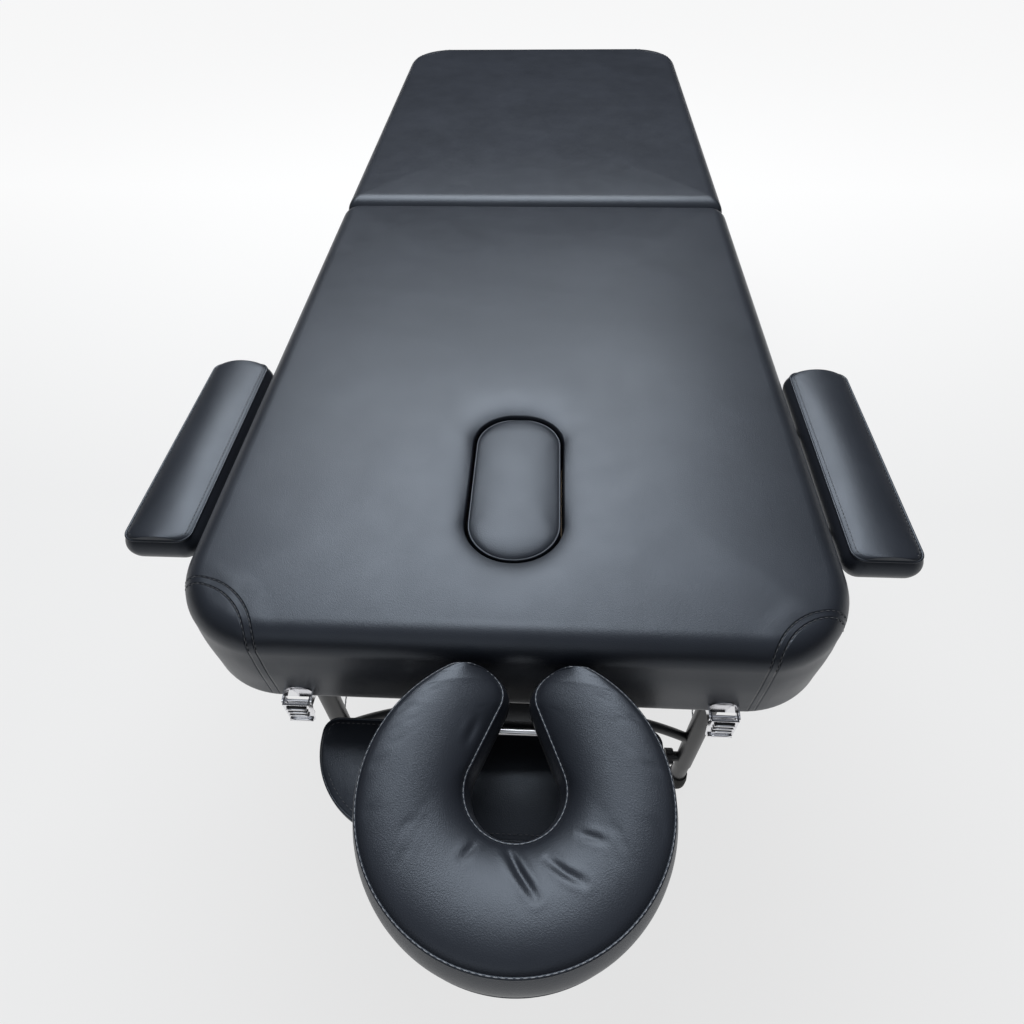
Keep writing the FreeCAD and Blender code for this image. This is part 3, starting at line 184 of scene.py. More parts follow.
def pattern(made, scale, stretch=(1, 1, 1), detail=3.0, kind="ShaderNodeTexNoise", **more):
    """A noise or cell pattern on object coordinates, stretched along the axes."""
    tree = made.node_tree
    place = tree.nodes.new("ShaderNodeTexCoord")
    turn = tree.nodes.new("ShaderNodeMapping")
    turn.inputs["Scale"].default_value = stretch
    wire(tree, (place, "Object"), (turn, 0))
    texture = tree.nodes.new(kind)
    texture.inputs["Scale"].default_value = scale
    if "Detail" in texture.inputs:
        texture.inputs["Detail"].default_value = detail
    for socket, number in more.items():
        texture.inputs[socket.replace("_", " ")].default_value = number
    wire(tree, (turn, 0), (texture, 0))
    return texture


def vary_colour(made, source, low, high, span=(0.3, 0.7)):
    """Runs a pattern through two colours into the base colour."""
    tree = made.node_tree
    ramp = ramp_between(tree, source, (*low, 1), (*high, 1), span)
    wire(tree, (ramp, 0), (tree.nodes["Principled BSDF"], "Base Color"))


def vary_roughness(made, source, low, high):
    """Runs a pattern into the roughness between two values."""
    tree = made.node_tree
    fit = tree.nodes.new("ShaderNodeMapRange")
    fit.inputs["To Min"].default_value = low
    fit.inputs["To Max"].default_value = high
    wire(tree, source, (fit, 0))
    wire(tree, (fit, 0), (tree.nodes["Principled BSDF"], "Roughness"))


def emboss(made, source, depth, strength=1.0):
    """Adds a bump of so many metres on top of the bumps already there."""
    tree = made.node_tree
    shader = tree.nodes["Principled BSDF"]
    bump = tree.nodes.new("ShaderNodeBump")
    bump.inputs["Strength"].default_value = strength
    bump.inputs["Distance"].default_value = depth
    wire(tree, source, (bump, "Height"))
    earlier = shader.inputs["Normal"].links
    if earlier:
        tree.links.new(earlier[0].from_socket, bump.inputs["Normal"])
    wire(tree, (bump, 0), (shader, "Normal"))


def give(made, *names):
    """Puts a material on CAD nodes."""
    for name in names:
        for slot in nodes[name].material_slots:
            slot.material = made


for way, names in (("x", ("end", "hinge")), ("y", ("left", "right"))):
    beech = new_material(f"black_beech_{way}", (0.02, 0.018, 0.017), 0.42, specular=0.4)
    grain = pattern(beech, 9, LENGTHWAYS[way], 6)
    vary_colour(beech, (grain, 0), (0.012, 0.011, 0.01), (0.034, 0.03, 0.027))
    vary_roughness(beech, (grain, 0), 0.34, 0.55)
    emboss(beech, (grain, 0), 0.0006, 0.6)
    give(beech, *[f"{panel}_{name}_rail" for panel in ("head", "foot") for name in names])

birch = new_material("birch_plywood", (0.55, 0.4, 0.25), 0.5, specular=0.35)
grain = pattern(birch, 7, LENGTHWAYS["y"], 7)
vary_colour(birch, (grain, 0), (0.42, 0.28, 0.15), (0.66, 0.5, 0.33))
emboss(birch, (grain, 0), 0.0004, 0.5)
give(birch, "head_deck", "foot_deck")

# The leg frames: steel tube, powder-coated satin black, with a fine orange peel. Brackets,
# armrest carriers and the cradle's arms come out of the same coating line.
coated = new_material("black_powder_coat", (0.014, 0.0145, 0.016), 0.38, specular=0.45)
peel = pattern(coated, 900, detail=2)
emboss(coated, (peel, 0), 0.0002, 0.35)
haze = pattern(coated, 12, detail=4)
vary_roughness(coated, (haze, 0), 0.3, 0.46)
give(coated, *[f"{panel}_{part}" for panel in ("head", "foot") for part in
               ("left_outer_leg", "right_outer_leg", "cross_tubes", "leg_brackets")],
     "left_armrest_carrier", "right_armrest_carrier", "cradle_arms")

inner_paint = new_material("scuffed_inner_tube", (0.022, 0.022, 0.024), 0.3, 0.2)
scuffs = pattern(inner_paint, 30, (8, 8, 0.6), 5)
vary_colour(inner_paint, (scuffs, 0), (0.016, 0.016, 0.018), (0.05, 0.05, 0.054), (0.45, 0.75))
vary_roughness(inner_paint, (scuffs, 0), 0.22, 0.5)
give(inner_paint, *[f"{panel}_{side}_inner_leg" for panel in ("head", "foot")
                    for side in ("left", "right")])

# Moulded parts: clamp knobs, cam levers and the cradle base are black nylon with a fine
# sparked texture; the shoes under the legs are soft rubber, dusty from the floor.
nylon = new_material("black_nylon", (0.018, 0.018, 0.019), 0.5, specular=0.4)
spark = pattern(nylon, 2200, detail=2)
emboss(nylon, (spark, 0), 0.0002, 0.6)
give(nylon, "cradle_base", "arm_lever", "tilt_lever", "face_platform",
     *[f"{panel}_{side}_knob" for panel in ("head", "foot") for side in ("left", "right")])

rubber = new_material("black_rubber", (0.025, 0.025, 0.025), 0.75, specular=0.3)
dust = pattern(rubber, 60, detail=5)
vary_colour(rubber, (dust, 0), (0.018, 0.018, 0.018), (0.06, 0.058, 0.055), (0.4, 0.8))
emboss(rubber, (dust, 0), 0.0003, 0.4)
give(rubber, *[f"{panel}_{side}_foot" for panel in ("head", "foot")
               for side in ("left", "right")])

# Bright parts: drawn steel rods and pressed hinges with a faint drawing grain, turned brass
# sleeves in the end rail, and the chromed draw latches with their catches.
steel = new_material("drawn_steel", (0.62, 0.62, 0.63), 0.28, 1.0)
lines = pattern(steel, 400, (0.05, 1, 1), 3)
vary_roughness(steel, (lines, 0), 0.2, 0.38)
emboss(steel, (lines, 0), 0.0001, 0.3)
give(steel, "arm_rod", "tilt_rod", "head_hinge_leaves", "foot_hinge_leaves")

brass = new_material("turned_brass", (0.72, 0.53, 0.25), 0.3, 1.0)
rings = pattern(brass, 300, (1, 1, 0.1), 3)
vary_roughness(brass, (rings, 0), 0.22, 0.42)
give(brass, "accessory_bushings")

chrome = new_material("bright_chrome", (0.86, 0.86, 0.88), 0.07, 1.0)
smear = pattern(chrome, 40, detail=4)
vary_roughness(chrome, (smear, 0), 0.04, 0.16)
give(chrome, "latch_bases", "latch_catches", "left_latch_lever", "right_latch_lever",
     "left_latch_claw", "right_latch_claw")

# The padded panels: a block of firm foam under one cover of black leatherette, drawn down
# over the rails and stapled beneath. Double-stitched patches ease the outer corners.
HINGE_Y = 0.132
PANEL_LONG = 0.93
HALF_WIDE = 0.35
TABLE_TOP = 0.62
COVER_TOP = TABLE_TOP - 0.003
RAIL_LOW = 0.503
EDGE_ROUND = 0.028
HEM = 0.014
CROWN = 0.005
SIDE_STEPS = 10
ROUND_STEPS = 9
TOP_STEPS = 34
GROOVE = 0.0016
PUCKER_REACH = 0.028
HEAD_END = HINGE_Y - PANEL_LONG
FOOT_END = HINGE_Y + PANEL_LONG
PATCHES = (((-0.335, HEAD_END - 0.015), (0.09, 0.082)), ((0.325, HEAD_END - 0.02), (0.077, 0.07)),
           ((-0.335, FOOT_END + 0.015), (0.09, 0.082)), ((0.335, FOOT_END + 0.015), (0.09, 0.082)))
VINYL_SHINE = (0.8, 0.88, 1.0, 1)


def leatherette(name):
    """Black leatherette: a soft pebble grain, a little unevenness of gloss and tone."""
    made = new_material(name, (0.012, 0.0135, 0.0175), 0.42, specular=0.5)
    cells = pattern(made, 780, kind="ShaderNodeTexVoronoi", Randomness=0.9)
    emboss(made, (cells, "Distance"), 0.00035, 0.22)
    pores = pattern(made, 1600, detail=2)
    emboss(made, (pores, 0), 0.0002, 0.2)
    waves = pattern(made, 9, detail=3)
    emboss(made, (waves, 0), 0.006, 0.12)
    vary_colour(made, (waves, 0), (0.01, 0.0115, 0.0155), (0.0155, 0.0175, 0.023))
    tone = pattern(made, 26, detail=5)
    vary_roughness(made, (tone, 0), 0.33, 0.43)
    shader = made.node_tree.nodes["Principled BSDF"]
    shader.inputs["Specular Tint"].default_value = VINYL_SHINE
    return made


def sum_of(tree, operation, first, second):
    """A math node of two inputs, each a number or an output."""
    step = tree.nodes.new("ShaderNodeMath")
    step.operation = operation
    for number, source in enumerate((first, second)):
        if isinstance(source, (int, float)):
            step.inputs[number].default_value = source
        else:
            wire(tree, source, (step, number))
    return step, 0


def sewn_patches(made):
    """Presses the corner patches' double seams into a material, with small puckers beside."""
    tree = made.node_tree
    place = tree.nodes.new("ShaderNodeTexCoord")
    flat = tree.nodes.new("ShaderNodeMapping")
    flat.inputs["Scale"].default_value = (1, 1, 0)
    wire(tree, (place, "Object"), (flat, 0))
    nearest = None
    for centre, radii in PATCHES:
        far = tree.nodes.new("ShaderNodeVectorMath")
        far.operation = "DISTANCE"
        far.inputs[1].default_value = (*centre, 0)
        wire(tree, (flat, 0), (far, 0))
        for radius in radii:
            gap = sum_of(tree, "ABSOLUTE", sum_of(tree, "SUBTRACT", (far, "Value"), radius), 0.0)
            nearest = gap if nearest is None else sum_of(tree, "MINIMUM", nearest, gap)
    sides = {}
    for word, reach in (("groove", GROOVE), ("pucker", PUCKER_REACH)):
        fade = tree.nodes.new("ShaderNodeMapRange")
        fade.interpolation_type = "SMOOTHSTEP"
        fade.inputs["From Max"].default_value = reach
        wire(tree, nearest, (fade, 0))
        sides[word] = (fade, 0)
    gathers = pattern(made, 42, detail=0)
    raised = sum_of(tree, "MULTIPLY", (gathers, 0), sum_of(tree, "SUBTRACT", 1.0, sides["pucker"]))
    emboss(made, raised, 0.003, 0.35)
    emboss(made, sides["groove"], 0.0016, 0.9)


vinyl = leatherette("black_leatherette")
panel_vinyl = leatherette("panel_leatherette")
sewn_patches(panel_vinyl)


def round_rect(left, right, low, high, radii, steps):
    """Points round a rectangle with its own radius at each corner, counted from the low right
    corner; steps gives the number of points on a side across, a side along and a corner."""
    across, along, bend = steps
    corners = ((right, low, -90), (right, high, 0), (left, high, 90), (left, low, 180))
    points = []
    for number, (x, y, start) in enumerate(corners):
        r = radii[number]
        cx = x - r if x == right else x + r
        cy = y - r if y == high else y + r
        for i in range(bend + 1):
            turn = math.radians(start + 90 * i / bend)
            points.append((cx + r * math.cos(turn), cy + r * math.sin(turn)))
        nx, ny, _ = corners[(number + 1) % 4]
        s = radii[(number + 1) % 4]
        turn = math.radians(start + 90)
        ncx = nx - s if nx == right else nx + s
        ncy = ny - s if ny == high else ny + s
        goal = (ncx + s * math.cos(turn), ncy + s * math.sin(turn))
        here = points[-1]
        count = along if number in (0, 2) else across
        for i in range(1, count):
            f = i / count
            points.append((here[0] + f * (goal[0] - here[0]), here[1] + f * (goal[1] - here[1])))
    return np.array(points)


def new_piece(name, points, faces, material):
    """A smooth mesh piece with merged points and faces that point outwards."""
    mesh = bpy.data.meshes.new(name)
    mesh.from_pydata(np.asarray(points).tolist(), [], faces)
    shape = bmesh.new()
    shape.from_mesh(mesh)
    bmesh.ops.remove_doubles(shape, verts=shape.verts, dist=1e-6)
    bmesh.ops.recalc_face_normals(shape, faces=shape.faces)
    shape.to_mesh(mesh)
    shape.free()
    mesh.polygons.foreach_set("use_smooth", [True] * len(mesh.polygons))
    mesh.update()
    mesh.materials.append(material)
    piece = bpy.data.objects.new(name, mesh)
    scene.collection.objects.link(piece)
    return piece


def loft(name, loops, material, close_first=False, close_last=False):
    """A piece through loops with equal numbers of points, each an array of x, y, z."""
    count = len(loops[0])
    faces = []
    for row in range(len(loops) - 1):
        a, b = row * count, (row + 1) * count
        for i in range(count):
            j = (i + 1) % count
            faces.append((a + i, a + j, b + j, b + i))
    if close_first:
        faces.append(tuple(range(count))[::-1])
    if close_last:
        start = (len(loops) - 1) * count
        faces.append(tuple(range(start, start + count)))
    return new_piece(name, np.concatenate(loops), faces, material)


def level(points, height):
    """Plan points lifted to a height, which is one number or one for each point."""
    return np.column_stack([points, np.broadcast_to(height, len(points))])


def on_ray(outline, centre, towards):
    """Where rays from a centre towards points cross an outline, one crossing for each."""
    start = np.asarray(outline) - centre
    end = np.roll(start, -1, axis=0)
    found = []
    for ray in np.asarray(towards) - centre:
        ray = ray / np.hypot(*ray)
        edge = end - start
        cross = ray[0] * edge[:, 1] - ray[1] * edge[:, 0]
        cross[np.abs(cross) < 1e-12] = 1e-12
        along = (start[:, 0] * edge[:, 1] - start[:, 1] * edge[:, 0]) / cross
        part = (start[:, 0] * ray[1] - start[:, 1] * ray[0]) / cross
        hits = along[(part >= -1e-9) & (part <= 1 + 1e-9) & (along > 0)]
        found.append(centre + ray * (hits.max() if len(hits) else 0))
    return np.array(found)


def crowned(points, edge_gap):
    """The height of a padded top over plan points that lie so far in from the edge."""
    rise = 1 - (1 - np.clip(edge_gap / 0.2, 0, 1)) ** 2
    uneven = np.array([noise.noise(Vector((x * 5, y * 5, 0.3))) for x, y in points])
    return COVER_TOP + CROWN * rise + 0.0012 * uneven * rise


HOLE_CENTRE = np.array([0.0, HINGE_Y - 0.7085])
HOLE_HALF = (0.0565, 0.1165)
HOLE_DIP = 0.008
HOLE_SOFT = 0.02
HOLE_LIP = 0.006
FOAM_LOW = 0.5592


def hole_outline(narrowed):
    """The breath hole's outline, drawn in by so much."""
    wide, long = HOLE_HALF[0] - narrowed, HOLE_HALF[1] - narrowed
    x, y = HOLE_CENTRE
    radii = (wide - 0.001, wide - 0.005, wide - 0.005, wide - 0.001)
    return round_rect(x - wide, x + wide, y - long, y + long, radii, (6, 26, 22))


def panel_cover(word, low, high, radii):
    """The whole cover of one panel, from the hem under its rails to the top."""
    steps = (70, 92, 22)

    def ring(inset, floor_radius=0.004):
        corners = [max(r - inset, floor_radius) for r in radii]
        return round_rect(-HALF_WIDE + inset, HALF_WIDE - inset, low + inset, high - inset,
                          corners, steps)

    edge, inner = ring(0), ring(EDGE_ROUND)
    loops = [level(ring(HEM), RAIL_LOW - 0.0009), level(ring(0.004), RAIL_LOW - 0.001),
             level(ring(0.0006), RAIL_LOW + 0.0012)]
    side_top = COVER_TOP - EDGE_ROUND
    outward = edge - inner
    outward /= np.linalg.norm(outward, axis=1)[:, None]
    for i in range(SIDE_STEPS + 1):
        f = i / SIDE_STEPS
        belly = 0.0022 * math.sin(math.pi * min(1, f * 1.1)) * f
        loops.append(level(edge + outward * (belly - 0.0002), RAIL_LOW + 0.004
                           + f * (side_top - RAIL_LOW - 0.004)))
    for i in range(1, ROUND_STEPS + 1):
        turn = math.pi / 2 * i / ROUND_STEPS
        f = 1 - math.cos(turn)
        loops.append(level(edge + (inner - edge) * f,
                           side_top + EDGE_ROUND * math.sin(turn) ** 0.95))
    if word == "head":
        goal = on_ray(hole_outline(0), HOLE_CENTRE, inner)
    else:
        middle = np.array([0, (low + high) / 2])
        goal = middle + (inner - middle) * 0.02
    span = np.linalg.norm(goal - inner, axis=1)
    for i in range(1, TOP_STEPS + 1):
        f = i / TOP_STEPS
        if word == "head":
            f = 1 - (1 - f) ** 1.35
        points = inner + (goal - inner) * f
        gap = np.minimum(HALF_WIDE - np.abs(points[:, 0]),
                         np.minimum(points[:, 1] - low, high - points[:, 1])) - EDGE_ROUND
        heights = crowned(points, gap)
        if word == "head":
            near = span * (1 - f)
            heights = heights - HOLE_DIP * np.exp(-near / HOLE_SOFT)
        loops.append(level(points, heights))
    if word == "foot":
        return loft("foot_cover", loops, panel_vinyl, close_last=True)
    rim = loops[-1][:, 2]
    away = np.linalg.norm(goal - HOLE_CENTRE, axis=1)[:, None]
    for i in range(1, 7):
        turn = math.pi / 2 * i / 6
        inside = HOLE_CENTRE + (goal - HOLE_CENTRE) * (1 - HOLE_LIP * 0.35 * math.sin(turn) / away)
        loops.append(level(inside, rim - HOLE_LIP * (1 - math.cos(turn))))
    base = loops[-1].copy()
    for i in range(1, 5):
        heights = base[:, 2] + (FOAM_LOW - base[:, 2]) * i / 4
        loops.append(level(base[:, :2], heights))
    return loft("head_cover", loops, panel_vinyl)


covers = {
    "head": panel_cover("head", HEAD_END, HINGE_Y - 0.001, (0.106, 0.034, 0.034, 0.106)),
    "foot": panel_cover("foot", HINGE_Y + 0.001, FOOT_END, (0.01, 0.105, 0.105, 0.01)),
}
for word, cover in covers.items():
    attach(cover, f"{word}_panel")
    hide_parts(f"{word}_cushion")

# Thread and staples: two rows of bonded thread hold each corner patch down, and steel staples
# hold the cover's hem under the rails. Both are laid along lines at an even pitch.
STITCH_INPUTS = (("Pitch", "NodeSocketFloat", 0.006), ("Length", "NodeSocketFloat", 0.004),
                 ("Radius", "NodeSocketFloat", 0.0005), ("Unevenness", "NodeSocketFloat", 0.15),
                 ("Seed", "NodeSocketInt", 7), ("Thread", "NodeSocketMaterial", None))
PATCH_TURNS = 64
STAPLE_INSET = 0.009
THREAD_UP = 0.0002
thread = new_material("bonded_thread", (0.09, 0.093, 0.1), 0.6, specular=0.4)
twist = pattern(thread, 3000, detail=1)
emboss(thread, (twist, 0), 0.0001, 0.5)
staple_wire = new_material("staple_wire", (0.6, 0.59, 0.57), 0.34, 1.0)
drawn = pattern(staple_wire, 900, detail=2)
vary_roughness(staple_wire, (drawn, 0), 0.25, 0.45)


def new_tool(name, taken, inputs, handed):
    """An empty node group that takes geometry and settings and hands geometry back; returns
    it with its input and its output."""
    tool = bpy.data.node_groups.new(name, "GeometryNodeTree")
    tool.interface.new_socket(taken, in_out="INPUT", socket_type="NodeSocketGeometry")
    for word, kind, number in inputs:
        made = tool.interface.new_socket(word, in_out="INPUT", socket_type=kind)
        if number is not None:
            made.default_value = number
    tool.interface.new_socket(handed, in_out="OUTPUT", socket_type="NodeSocketGeometry")
    return tool, tool.nodes.new("NodeGroupInput"), tool.nodes.new("NodeGroupOutput")


def unit_ball(tool, segments, rings):
    """A ball of radius 1."""
    ball = tool.nodes.new("GeometryNodeMeshUVSphere")
    for word, number in (("Segments", segments), ("Rings", rings), ("Radius", 1)):
        ball.inputs[word].default_value = number
    return ball, 0


def chance_up_to(tool, given, top):
    """A random number from 0 to a top for each point, drawn from the group's seed."""
    chance = tool.nodes.new("FunctionNodeRandomValue")
    chance.inputs[2].default_value = 0
    chance.inputs[3].default_value = top
    wire(tool, (given, "Seed"), (chance, "Seed"))
    return chance, 1


def set_out(tool, points, shape, turn, sizes):
    """Real copies of a shape on points, turned and sized."""
    size = tool.nodes.new("ShaderNodeCombineXYZ")
    for axis, source in zip("XYZ", sizes):
        wire(tool, source, (size, axis))
    laid = tool.nodes.new("GeometryNodeInstanceOnPoints")
    for socket, source in (("Points", points), ("Instance", shape), ("Rotation", turn),
                           ("Scale", (size, 0))):
        wire(tool, source, (laid, socket))
    real = tool.nodes.new("GeometryNodeRealizeInstances")
    wire(tool, (laid, 0), (real, 0))
    return real, 0


def stitch_tool():
    """A node group that lays one stitch at every pitch along the lines that it is given."""
    tool, given, result = new_tool("stitches", "Lines", STITCH_INPUTS, "Stitches")
    curve = tool.nodes.new("GeometryNodeMeshToCurve")
    wire(tool, (given, "Lines"), (curve, 0))
    even = tool.nodes.new("GeometryNodeResampleCurve")
    even.mode = "LENGTH"
    wire(tool, (curve, 0), (even, "Curve"))
    wire(tool, (given, "Pitch"), (even, "Length"))
    along = tool.nodes.new("GeometryNodeInputTangent")
    align = tool.nodes.new("FunctionNodeAlignRotationToVector")
    align.axis = "Z"
    wire(tool, (along, 0), (align, "Vector"))
    less = sum_of(tool, "MULTIPLY", chance_up_to(tool, given, 1), (given, "Unevenness"))
    half = sum_of(tool, "MULTIPLY", (given, "Length"), 0.5)
    shorter = sum_of(tool, "MULTIPLY", half, sum_of(tool, "SUBTRACT", 1.0, less))
    radius = (given, "Radius")
    laid = set_out(tool, (even, 0), unit_ball(tool, 6, 5), (align, 0), (radius, radius, shorter))
    paint = tool.nodes.new("GeometryNodeSetMaterial")
    wire(tool, laid, (paint, 0))
    wire(tool, (given, "Thread"), (paint, "Material"))
    wire(tool, (paint, 0), (result, 0))
    return tool


stitches = stitch_tool()


def baked(name, points, edges, tool, body, **settings):
    """Runs a node group over points and edges, and keeps its result as a plain mesh piece that
    rides on a body."""
    mesh = bpy.data.meshes.new(name)
    mesh.from_pydata(points, edges, [])
    guide = bpy.data.objects.new(name + "_guide", mesh)
    scene.collection.objects.link(guide)
    modifier = guide.modifiers.new("repeat", "NODES")
    modifier.node_group = tool
    for item in tool.interface.items_tree:
        if item.in_out == "INPUT" and item.name in settings:
            modifier[item.identifier] = settings[item.name]
    ready = guide.evaluated_get(bpy.context.evaluated_depsgraph_get())
    result = bpy.data.meshes.new_from_object(ready)
    bpy.data.objects.remove(guide)
    result.name = name
    result.polygons.foreach_set("use_smooth", [True] * len(result.polygons))
    piece = bpy.data.objects.new(name, result)
    scene.collection.objects.link(piece)
    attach(piece, body)


def sew(name, lines, body, **settings):
    """Lays stitches along lines, each an array of points, and lets them ride on a body."""
    edges, start = [], 0
    for line in lines:
        edges += [(start + i, start + i + 1) for i in range(len(line) - 1)]
        start += len(line)
    settings.setdefault("Thread", thread)
    baked(name, np.concatenate(lines).tolist(), edges, stitches, body, **settings)


def surface_of(piece):
    """A tree that finds points on a piece's faces."""
    mesh = piece.data
    return BVHTree.FromPolygons([v.co for v in mesh.vertices], [p.vertices for p in mesh.polygons])


def patch_line(surface, centre, radius, end_y):
    """A seam's line over a panel's corner: up one side, round the top and down the end."""
    sign = math.copysign(1, centre[0])
    outwards = math.copysign(1, end_y)
    start = -math.asin((HALF_WIDE - abs(centre[0])) / radius)
    end = math.acos((abs(centre[1]) - abs(end_y)) / radius)
    top = []
    for i in range(PATCH_TURNS + 1):
        turn = start + 0.02 + (end - start - 0.04) * i / PATCH_TURNS
        x = centre[0] - sign * radius * math.sin(turn)
        y = centre[1] - outwards * radius * math.cos(turn)
        hit = surface.ray_cast(Vector((x, y, 1)), Vector((0, 0, -1)))
        if hit[0] is not None and hit[0].z > 0.56:
            top.append(hit[0] + hit[1] * THREAD_UP)
    return np.array([tuple(p) for p in top])


for word, cover, patches in (("head", covers["head"], PATCHES[:2]),
                             ("foot", covers["foot"], PATCHES[2:])):
    surface = surface_of(cover)
    end_y = HEAD_END if word == "head" else FOOT_END
    seams = [patch_line(surface, centre, radius, end_y) for centre, radii in patches
             for radius in radii]
    sew(f"{word}_patch_thread", seams, f"{word}_panel", Pitch=0.0062, Length=0.0045,
        Radius=0.00045)
    low, high = (HEAD_END, HINGE_Y) if word == "head" else (HINGE_Y, FOOT_END)
    hem = round_rect(-HALF_WIDE + STAPLE_INSET, HALF_WIDE - STAPLE_INSET, low + STAPLE_INSET,
                     high - STAPLE_INSET, (0.08,) * 4, (4, 4, 12))
    hem = level(np.vstack([hem, hem[:1]]), RAIL_LOW - 0.0011)
    sew(f"{word}_staples", [hem], f"{word}_panel", Pitch=0.036, Length=0.011, Radius=0.0005,
        Thread=staple_wire)

# The breath hole's plug: foam in a vinyl cover with a thin piped rim, pressed into the hole.
# It is cut a little narrower than the hole, so that a narrow dark gap shows all round.
PLUG_GAP = 0.0052
PLUG_SEAM = 0.6095
PLUG_LOW = 0.5602
CLOTH_PRESSURE = 4.0
CLOTH_FRAMES = 20
PIPING = 0.0016


def halves(outline, tip_a, tip_b, count, crowd=0.75):
    """Splits a closed outline at two tips into two runs from tip a to tip b; the first goes
    round with the outline. Points crowd towards the tips."""
    outline = np.asarray(outline)
    a, b = (int(np.argmin(np.hypot(*(outline - tip).T))) for tip in (tip_a, tip_b))
    turned = np.roll(outline, -a, axis=0)
    cut = (b - a) % len(outline)
    runs = []
    for run in (turned[:cut + 1], np.concatenate([turned[cut:], turned[:1]])[::-1]):
        steps = np.r_[0, np.cumsum(np.hypot(*np.diff(run, axis=0).T))]
        f = np.linspace(0, 1, count)
        f = crowd * (1 - np.cos(math.pi * f)) / 2 + (1 - crowd) * f
        runs.append(np.column_stack([np.interp(f * steps[-1], steps, run[:, k]) for k in (0, 1)]))
    return runs


def pushed(loop, distance):
    """A closed plan loop, drawn anticlockwise, moved outwards by a distance."""
    along = np.roll(loop, -1, axis=0) - np.roll(loop, 1, axis=0)
    along /= np.linalg.norm(along, axis=1)[:, None]
    return loop + np.column_stack([along[:, 1], -along[:, 0]]) * distance


def pad(name, runs, low, seam, crown, columns=20, belly=0.003, draw=0.003, inner_seam=None,
        lean=None, full_width=0.06):
    """A closed stuffed pad between two runs that share their tips: a floor, a band that
    bellies out, and a crowned top sewn to it. Returns the piece and its seam loop."""
    outer, inner = runs
    count = len(outer)
    loop = np.concatenate([outer, inner[::-1][1:-1]])
    tops = np.full(len(loop), seam)
    if inner_seam is not None:
        step = np.arange(count)
        fade = np.clip(np.minimum(step, count - 1 - step) / (0.16 * count), 0, 1)
        fade = fade * fade * (3 - 2 * fade)
        dropped = seam + (inner_seam - seam) * fade
        tops[count:] = dropped[::-1][1:-1]
    top_loop = pushed(loop, -draw)
    if lean is not None:
        top_loop = lean(top_loop)
    rows = [level(pushed(loop, -draw - 0.002), low), level(pushed(loop, -draw), low + 0.0008)]
    for f in (0.08, 0.25, 0.42, 0.58, 0.75, 0.9, 0.97):
        out = belly * math.sin(math.pi * f) - draw * (1 - math.sin(math.pi * f))
        plan = pushed(loop, out)
        plan = plan + (top_loop - pushed(loop, -draw)) * f
        rows.append(np.column_stack([plan, low + (tops - low) * f]))
    rows.append(np.column_stack([top_loop, tops]))
    size = len(loop)
    points = list(np.concatenate(rows))
    faces = []
    for row in range(len(rows) - 1):
        for i in range(size):
            j = (i + 1) % size
            faces.append((row * size + i, row * size + j, (row + 1) * size + j,
                          (row + 1) * size + i))

    def sheet_between(start, height_of):
        """Spans a loop with a grid from its outer run to its inner run."""
        grid = {}
        for s in range(count):
            a = start + s
            b = start + (2 * count - 2 - s) % size if 0 < s < count - 1 else a
            grid[s, 0], grid[s, columns] = a, b
            first, last = points[a], points[b]
            width = math.dist(first[:2], last[:2])
            for c in range(1, columns):
                if s in (0, count - 1):
                    grid[s, c] = a
                    continue
                u = c / columns
                spot = first + (last - first) * u
                grid[s, c] = len(points)
                points.append(np.array([spot[0], spot[1], spot[2] + height_of(u, width)]))
        for s in range(count - 1):
            for c in range(columns):
                corner = [grid[s, c], grid[s + 1, c], grid[s + 1, c + 1], grid[s, c + 1]]
                corner = list(dict.fromkeys(corner))
                if len(corner) > 2:
                    faces.append(tuple(corner))

    def top_height(u, width):
        return crown * min(1, width / full_width) ** 0.8 * (4 * u * (1 - u)) ** 0.6

    sheet_between(0, lambda u, width: 0.0)
    sheet_between((len(rows) - 1) * size, top_height)
    piece = new_piece(name, points, faces, vinyl)
    return piece, np.column_stack([top_loop, tops])


def puff(piece, low, seam_line, cap):
    """Lets air into a pad as cloth between its floor and its seams, and keeps each point
    within so much of where it was; then rounds it off with one subdivision."""
    mesh = piece.data
    rest = np.array([v.co[:] for v in mesh.vertices])
    near = np.array([np.min(np.sum((seam_line - p) ** 2, axis=1)) for p in rest]) < 1e-7
    held = np.flatnonzero((rest[:, 2] < low + 0.002) | near)
    group = piece.vertex_groups.new(name="held")
    group.add(held.tolist(), 1.0, "REPLACE")
    cloth = piece.modifiers.new("cloth", "CLOTH")
    cloth.settings.quality = 6
    cloth.settings.mass = 0.2
    cloth.settings.tension_stiffness = 12
    cloth.settings.compression_stiffness = 12
    cloth.settings.bending_stiffness = 0.5
    cloth.settings.use_pressure = True
    cloth.settings.uniform_pressure_force = CLOTH_PRESSURE
    cloth.settings.vertex_group_mass = "held"
    cloth.settings.effector_weights.gravity = 0
    for step in range(1, CLOTH_FRAMES + 1):
        scene.frame_set(step)
    ready = piece.evaluated_get(bpy.context.evaluated_depsgraph_get())
    swollen = np.array([v.co[:] for v in ready.data.vertices])
    piece.modifiers.remove(cloth)
    piece.vertex_groups.clear()
    scene.frame_set(1)
    move = swollen - rest
    size = np.linalg.norm(move, axis=1)
    move *= (np.minimum(size, cap) / np.maximum(size, 1e-9))[:, None]
    mesh.vertices.foreach_set("co", (rest + move).ravel())
    mesh.update()
    smooth = piece.modifiers.new("round", "SUBSURF")
    smooth.levels = smooth.render_levels = 1
    ready = piece.evaluated_get(bpy.context.evaluated_depsgraph_get())
    finer = bpy.data.meshes.new_from_object(ready)
    piece.modifiers.remove(smooth)
    piece.data = finer
    finer.name = mesh.name
    finer.polygons.foreach_set("use_smooth", [True] * len(finer.polygons))


